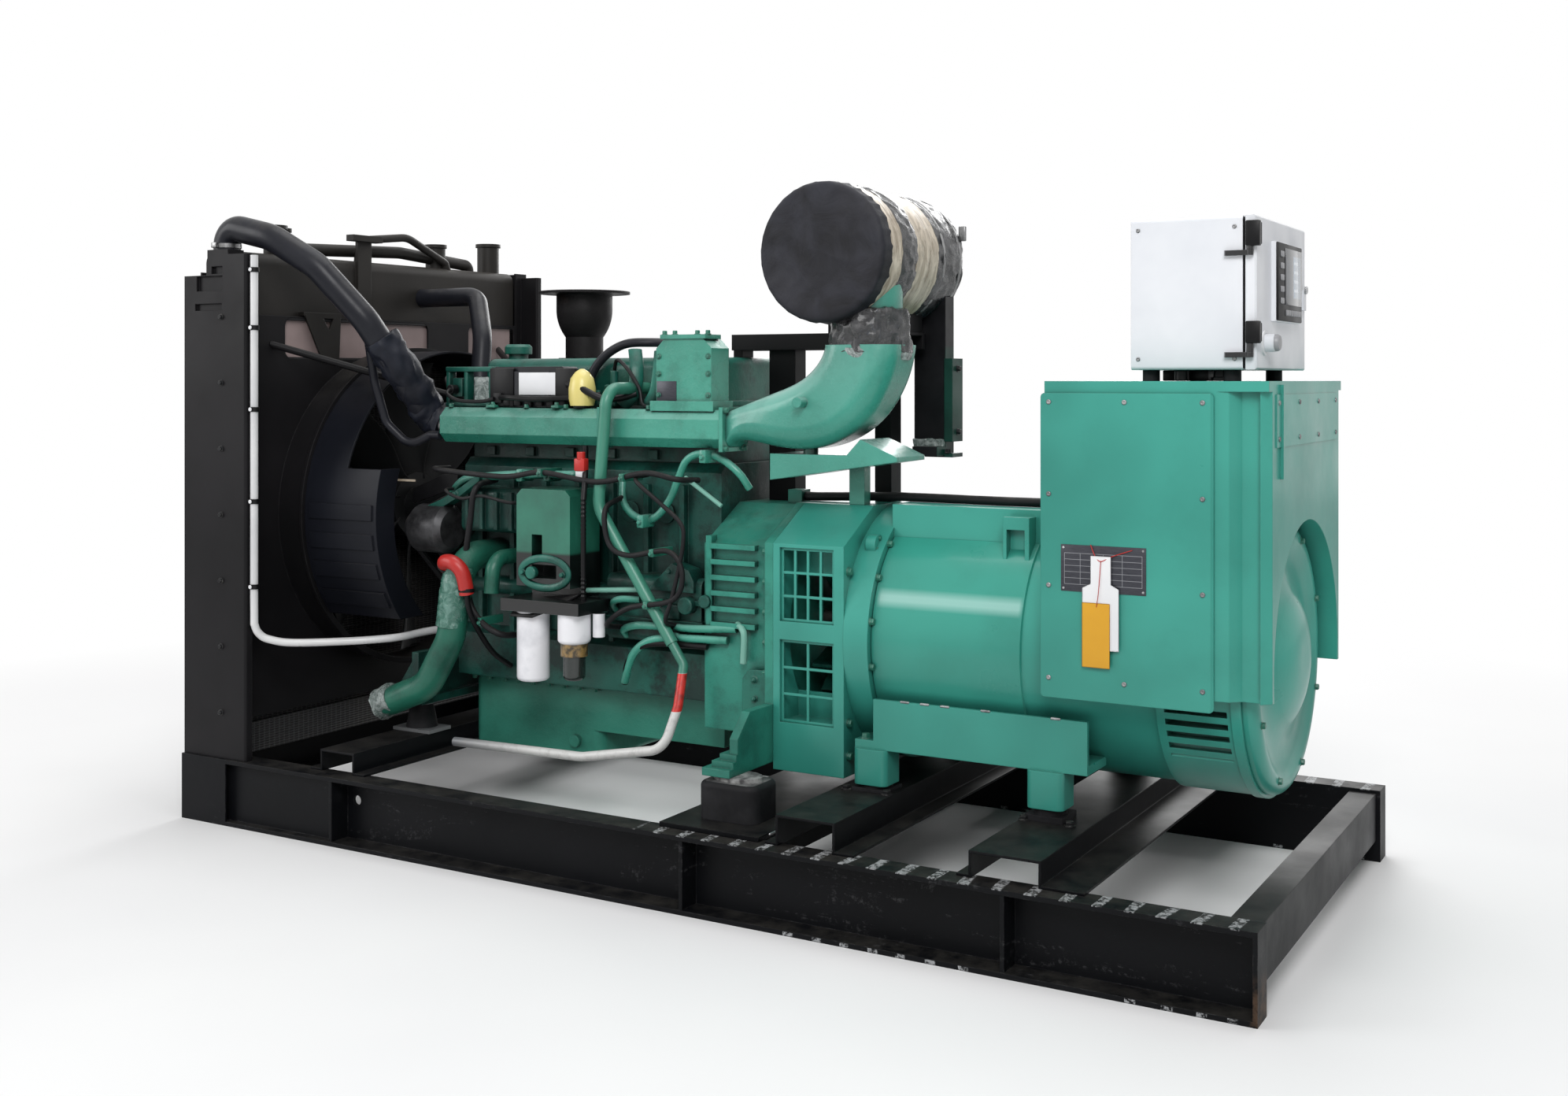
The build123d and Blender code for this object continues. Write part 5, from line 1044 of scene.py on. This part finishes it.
def end_cover():
    """The cloth stretched over the air cleaner's near end, its edge pleated."""
    cloth = bmesh.new()
    rings = []
    rim = 9
    for k, (radius, y) in enumerate([
            (0.0, -0.3425), (0.03, -0.3425), (0.06, -0.3426), (0.09, -0.3427), (0.115, -0.3427), (0.135, -0.3427),
            (0.152, -0.3426), (0.165, -0.3422), (0.174, -0.341), (0.1795, -0.3385), (0.1818, -0.334),
            (0.1822, -0.328), (0.1824, -0.320), (0.1826, -0.311), (0.1828, -0.302), (0.183, -0.294)]):
        ring = []
        for turn in turns(120) if radius else [0]:
            side = Vector((math.cos(turn), 0, math.sin(turn)))
            place = CLEANER_AT + side * radius + Vector((0, y, 0))
            if k < rim:
                fold = noise.noise(Vector((place.x * 9, k * 0.16, place.z * 9)))
                ridge = 1 - abs(noise.noise(Vector((place.x * 16 + 5, 2.0, place.z * 16)))) * 3
                place.y -= 0.004 * max(0, fold) + 0.0035 * max(0, ridge) * min(1, radius / 0.05)
            else:
                pleat = max(0, math.sin(turn * 31 + 2.5 * noise.noise(side * 3))) ** 2
                place += side * (0.0008 + 0.004 * pleat * (k - rim + 1) / 7)
                place.y += 0.010 * noise.noise(side * 4) * max(0, k - rim - 2) / 4
            ring.append(cloth.verts.new(place))
        rings.append(ring)
    skin(cloth, rings)
    cover = Shape().take(cloth).done("end_cloth", CLOTH, "cleaner_black", smooth=60)


def cleaner_parts():
    """Crinkled film, tape bands and clamps round the air cleaner, and the film on its collar."""
    for name, y0, y1, depth, finish, bulge, rows, scale in (
            ("crinkled_film_near", -0.228, -0.137, 0.0055, DARK_FILM, 0.004, 18, 24),
            ("crinkled_film_far", -0.006, 0.156, 0.0045, DARK_FILM, 0.002, 18, 24),
            ("tape_band_near", -0.302, -0.225, 0.0016, TAPE, 0.0005, 10, 11),
            ("tape_band_far", -0.141, -0.004, 0.0022, TAPE, 0.0006, 10, 11)):
        crown = [(row, 0.1815 + bulge * math.sin(math.pi * i / (rows - 1)))
                 for i, row in enumerate(spread(0, y1 - y0, rows))]
        Shape().lathe(CLEANER_AT + Vector((0, y0, 0)), (0, 1, 0), [(0, 0.1795), *crown, (y1 - y0, 0.1795)],
                      200).rumple(depth, scale, y0 * 30).done(name, finish, "cleaner_black", smooth=55)
    clamp = Shape()
    for y in (0.03, 0.135):
        clamp.sweep([CLEANER_AT + Vector((0.1828 * math.cos(a), y, 0.1828 * math.sin(a))) for a in turns(72)],
                    0.0016, 8, flat=4.5, closed=True)
    clamp.block((0.561, 0.148, 1.70), (0.582, 0.1595, 1.742), 0.003)
    clamp.done("cleaner_clamps", ZINC, "dark_metal")
    steps = [(0.009 * i, 0.1085 - 0.0008 * i) for i in range(13)]
    Shape().lathe((0.4696, -0.208, 1.388), UP, [(0, 0.10), *steps, (0.112, 0.088)], 90).rumple(0.009, 26, 4.0).done(
        "collar_film", DARK_FILM, "cleaner_black", smooth=55)
    Shape().lathe((0.4696, -0.208, 1.366), UP, [(0, 0.1045), (0.008, 0.1075), (0.016, 0.108), (0.024, 0.1075),
                                                (0.03, 0.104)], 90).rumple(0.005, 34, 9.0).done(
        "collar_clear_film", CLEAR_FILM, "bare_aluminium", smooth=55)


def bracket_parts():
    """The bracket's bolts and the scrap of film at its foot."""
    nuts = Shape()
    for x in (0.505, 0.555):
        nuts.bolt((x, 0.093, 1.1112), UP, across=0.014)
    for z in (1.17, 1.345):
        nuts.bolt((0.5697, 0.122, z), REAR, across=0.014)
    nuts.done("bracket_bolts", BLACK_BOLT, "radiator_black")
    Shape().block((0.452, 0.083, 1.118), (0.545, 0.0945, 1.15), 0.004).rumple(0.004, 45, 3.0, divide=7).done(
        "foot_film", CLEAR_FILM, "bare_aluminium", smooth=60)


def radiator_parts():
    """Film, clamps and knob of the charge air hose, header seals, pipe films, red elbow, cable and tan strip."""
    line = curve([(-1.045, -0.44, 1.44), (-1.02, -0.40, 1.368), (-1.008, -0.345, 1.30), (-1.004, -0.30, 1.242),
                  (-0.985, -0.272, 1.20), (-0.945, -0.265, 1.18)], 7)
    waves = (len(line) - 1) * 0.9
    Shape().sweep(line, lambda share: 0.052 * (0.98 + 0.05 * math.sin(share * waves)), 44).rumple(
        0.011, 20, 6.0).done("hose_film", HOSE_WRAP, "rubber_black", smooth=60)
    bands = Shape()
    for at, axis, radius in (((-1.52, -0.598, 1.712), UP, 0.0405), ((-0.94, -0.265, 1.18), REAR, 0.0415)):
        bands.lathe(at, axis, [(0, radius), (0, radius + 0.0018), (0.013, radius + 0.0018), (0.013, radius)], 48)
    bands.block((-1.53, -0.652, 1.711), (-1.508, -0.638, 1.727), 0.002)
    bands.done("hose_clamps", ZINC, "dark_metal")
    Shape().rod((-1.06, -0.43, 1.352), (-1.045, -0.40, 1.40), 0.026).done(
        "hose_branch_knob", HOSE_WRAP, "rubber_black")
    seals = Shape()
    for z in (1.38, 1.50):
        seals.block((-1.4115, -0.625, z - 0.004), (-1.4062, 0.625, z + 0.004), 0.001)
    seals.done("header_seals", RUBBER, "rubber_black")
    Shape().hose(0.0435, 40, 8, (-0.7665, -0.405, 0.775), (-0.777, -0.417, 0.70), (-0.788, -0.42, 0.60)).rumple(
        0.004, 30, 12.0).done("pipe_film", PIPE_FILM, "engine_green", smooth=60)
    Shape().hose(0.046, 40, 6, (-1.00, -0.43, 0.375), (-1.03, -0.43, 0.359), (-1.053, -0.43, 0.347)).rumple(
        0.006, 30, 15.0).done("pipe_end_film", CLEAR_FILM, "engine_green", smooth=60)
    Shape().hose(0.0215, 24, 7, (-0.80, -0.43, 0.772), (-0.782, -0.452, 0.789), (-0.745, -0.46, 0.789),
                 (-0.72, -0.455, 0.768), (-0.713, -0.447, 0.735), (-0.712, -0.44, 0.70)).done(
        "red_hose_elbow", RED, "engine_green")
    ends = Shape()
    ends.hose(0.008, 12, 7, (-0.712, -0.44, 0.712), (-0.714, -0.43, 0.66), (-0.71, -0.40, 0.60),
              (-0.70, -0.34, 0.52), (-0.69, -0.27, 0.47))
    for at, axis in (((-0.712, -0.4405, 0.706), UP), ((-0.796, -0.436, 0.776), (0.6, -0.7, 0.5))):
        ends.lathe(at, axis, [(0, 0.021), (0, 0.0235), (0.01, 0.0235), (0.01, 0.021)], 32)
    ends.done("elbow_clamps", BLACK_PLASTIC, "rubber_black")
    Shape().block((-1.111, -0.302, 1.0035), (-1.037, -0.298, 1.0105), 0.001).done(
        "tan_strip", TAPE, "bare_aluminium")


def white_line():
    """The white line down the rear of the near post, then back to the engine, with its clips."""
    pipe = Shape().hose(
        0.0115, 18, 7, *[(LINE_X, LINE_Y, z) for z in (1.68, 1.30, 0.95, 0.64)], (-1.3255, -0.665, 0.59),
        (-1.318, -0.65, 0.562), (-1.30, -0.63, 0.548), (-1.26, -0.585, 0.536), (-1.17, -0.48, 0.532),
        (-1.085, -0.385, 0.534), (-1.055, -0.33, 0.537), (-1.04, -0.26, 0.542), (-1.015, -0.205, 0.545),
        (-0.985, -0.19, 0.545), (-0.9607, -0.19, 0.545))
    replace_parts(pipe.done("white_line", WHITE_PIPE, "white_pipe"), "expansion_pipe")
    seats, heads = Shape(), Shape()
    for z in CLIP_HEIGHTS:
        seats.lathe((LINE_X, LINE_Y, z), UP, [(0, 0.0117), (0, 0.0147), (0.014, 0.0147), (0.014, 0.0117)])
        seats.block((-1.3415, -0.6835, z), (-1.3365, -0.652, z + 0.014), 0.001)
        heads.screw((LINE_X, -0.683, z + 0.007), NEAR)
    seats.done("line_clips", BLACK_PLASTIC, "rubber_black")
    heads.done("clip_screws", WHITE_CARD, "white_pipe")


def frame_parts():
    """Weld beads on the foot rails and on the flywheel cross member."""
    beads = Shape()
    for x, side in product((0.63, 0.685, 0.74, 0.849, 1.03), (-1, 1)):
        beads.rod((x - 0.013, side * 0.334, 0.503), (x + 0.013, side * 0.334, 0.503), 0.0032, 10, soft=0.6)
    for x, side in product((0.10, 0.39), (-1, 1)):
        beads.rod((x, side * 0.60, 0.2006), (x, side * 0.53, 0.2006), 0.004, 10, soft=0.6)
    beads.done("weld_beads", WELD, "frame_black")


for make in (fasten_alternator, barrel_cover, fasten_engine, fasten_frame, cabinet_parts, cards, unit_parts,
             side_parts, engine_wires, end_cover, cleaner_parts, bracket_parts, radiator_parts, white_line,
             frame_parts):
    make()


def area_lamp(name, at, target, size, power):
    """A rectangular lamp that looks at a target."""
    data = bpy.data.lights.new(name, "AREA")
    data.shape = "RECTANGLE"
    data.size, data.size_y = size
    data.energy = power
    lamp = bpy.data.objects.new(name, data)
    lamp.location = at
    lamp.rotation_euler = (Vector(target) - Vector(at)).to_track_quat("-Z", "Y").to_euler()
    bpy.context.scene.collection.objects.link(lamp)


area_lamp("key", (3.2, -5.6, 5.2), (0, 0, 0.9), (3.0, 3.0), 330)
area_lamp("fill", (-5.0, -4.2, 3.0), (0, 0, 0.9), (3.0, 3.0), 120)
area_lamp("top", (0, 0.5, 6.0), (0, 0, 0.5), (4.0, 4.0), 150)
area_lamp("back", (-1.5, 6.0, 3.5), (0, 0, 0.9), (4.0, 3.0), 190)

# A white world to the camera and in reflections, and a dimmer one as light
world = bpy.data.worlds.new("world")
bpy.context.scene.world = world
world.use_nodes = True
sky = world.node_tree
rays = add_node(sky, "LightPath", {}).outputs
seen = rays["Is Camera Ray"]
for other in ("Is Glossy Ray", "Is Transmission Ray"):
    seen = add_node(sky, "Math", {0: seen, 1: rays[other]}, operation="MAXIMUM").outputs["Value"]
strength = add_node(sky, "MapRange", {"Value": seen, "To Min": 0.3, "To Max": 1.0}).outputs["Result"]
background = sky.nodes["Background"]
background.inputs["Color"].default_value = (1, 1, 1, 1)
sky.links.new(strength, background.inputs["Strength"])
bpy.context.scene.view_settings.view_transform = "Standard"

# A pale floor that fades to the white of the world away from the set
bpy.ops.mesh.primitive_plane_add(size=30, location=(0, 0, 0))
floor = bpy.context.object
floor.name = "floor"
pale = Finish("pale floor", (240, 240, 240), roughness=0.7)
pale.over((233, 233, 234), pale.patches(0.3, 0.7, 0.6, 3))
pale.done()
away = pale.node("VectorMath", {0: pale.place}, operation="LENGTH").outputs["Value"]
camera_ray = pale.node("LightPath", {}).outputs["Is Camera Ray"]
glow = pale.node("Emission", {"Color": (1, 1, 1, 1), "Strength": 1.0}).outputs["Emission"]
far_share = pale.both(pale.span(away, 2.0, 4.6), camera_ray)
whole = pale.node("MixShader", {0: far_share, 1: pale.shader.outputs["BSDF"], 2: glow}).outputs["Shader"]
pale.tree.links.new(whole, pale.tree.nodes["Material Output"].inputs["Surface"])
floor.data.materials.append(pale.material)
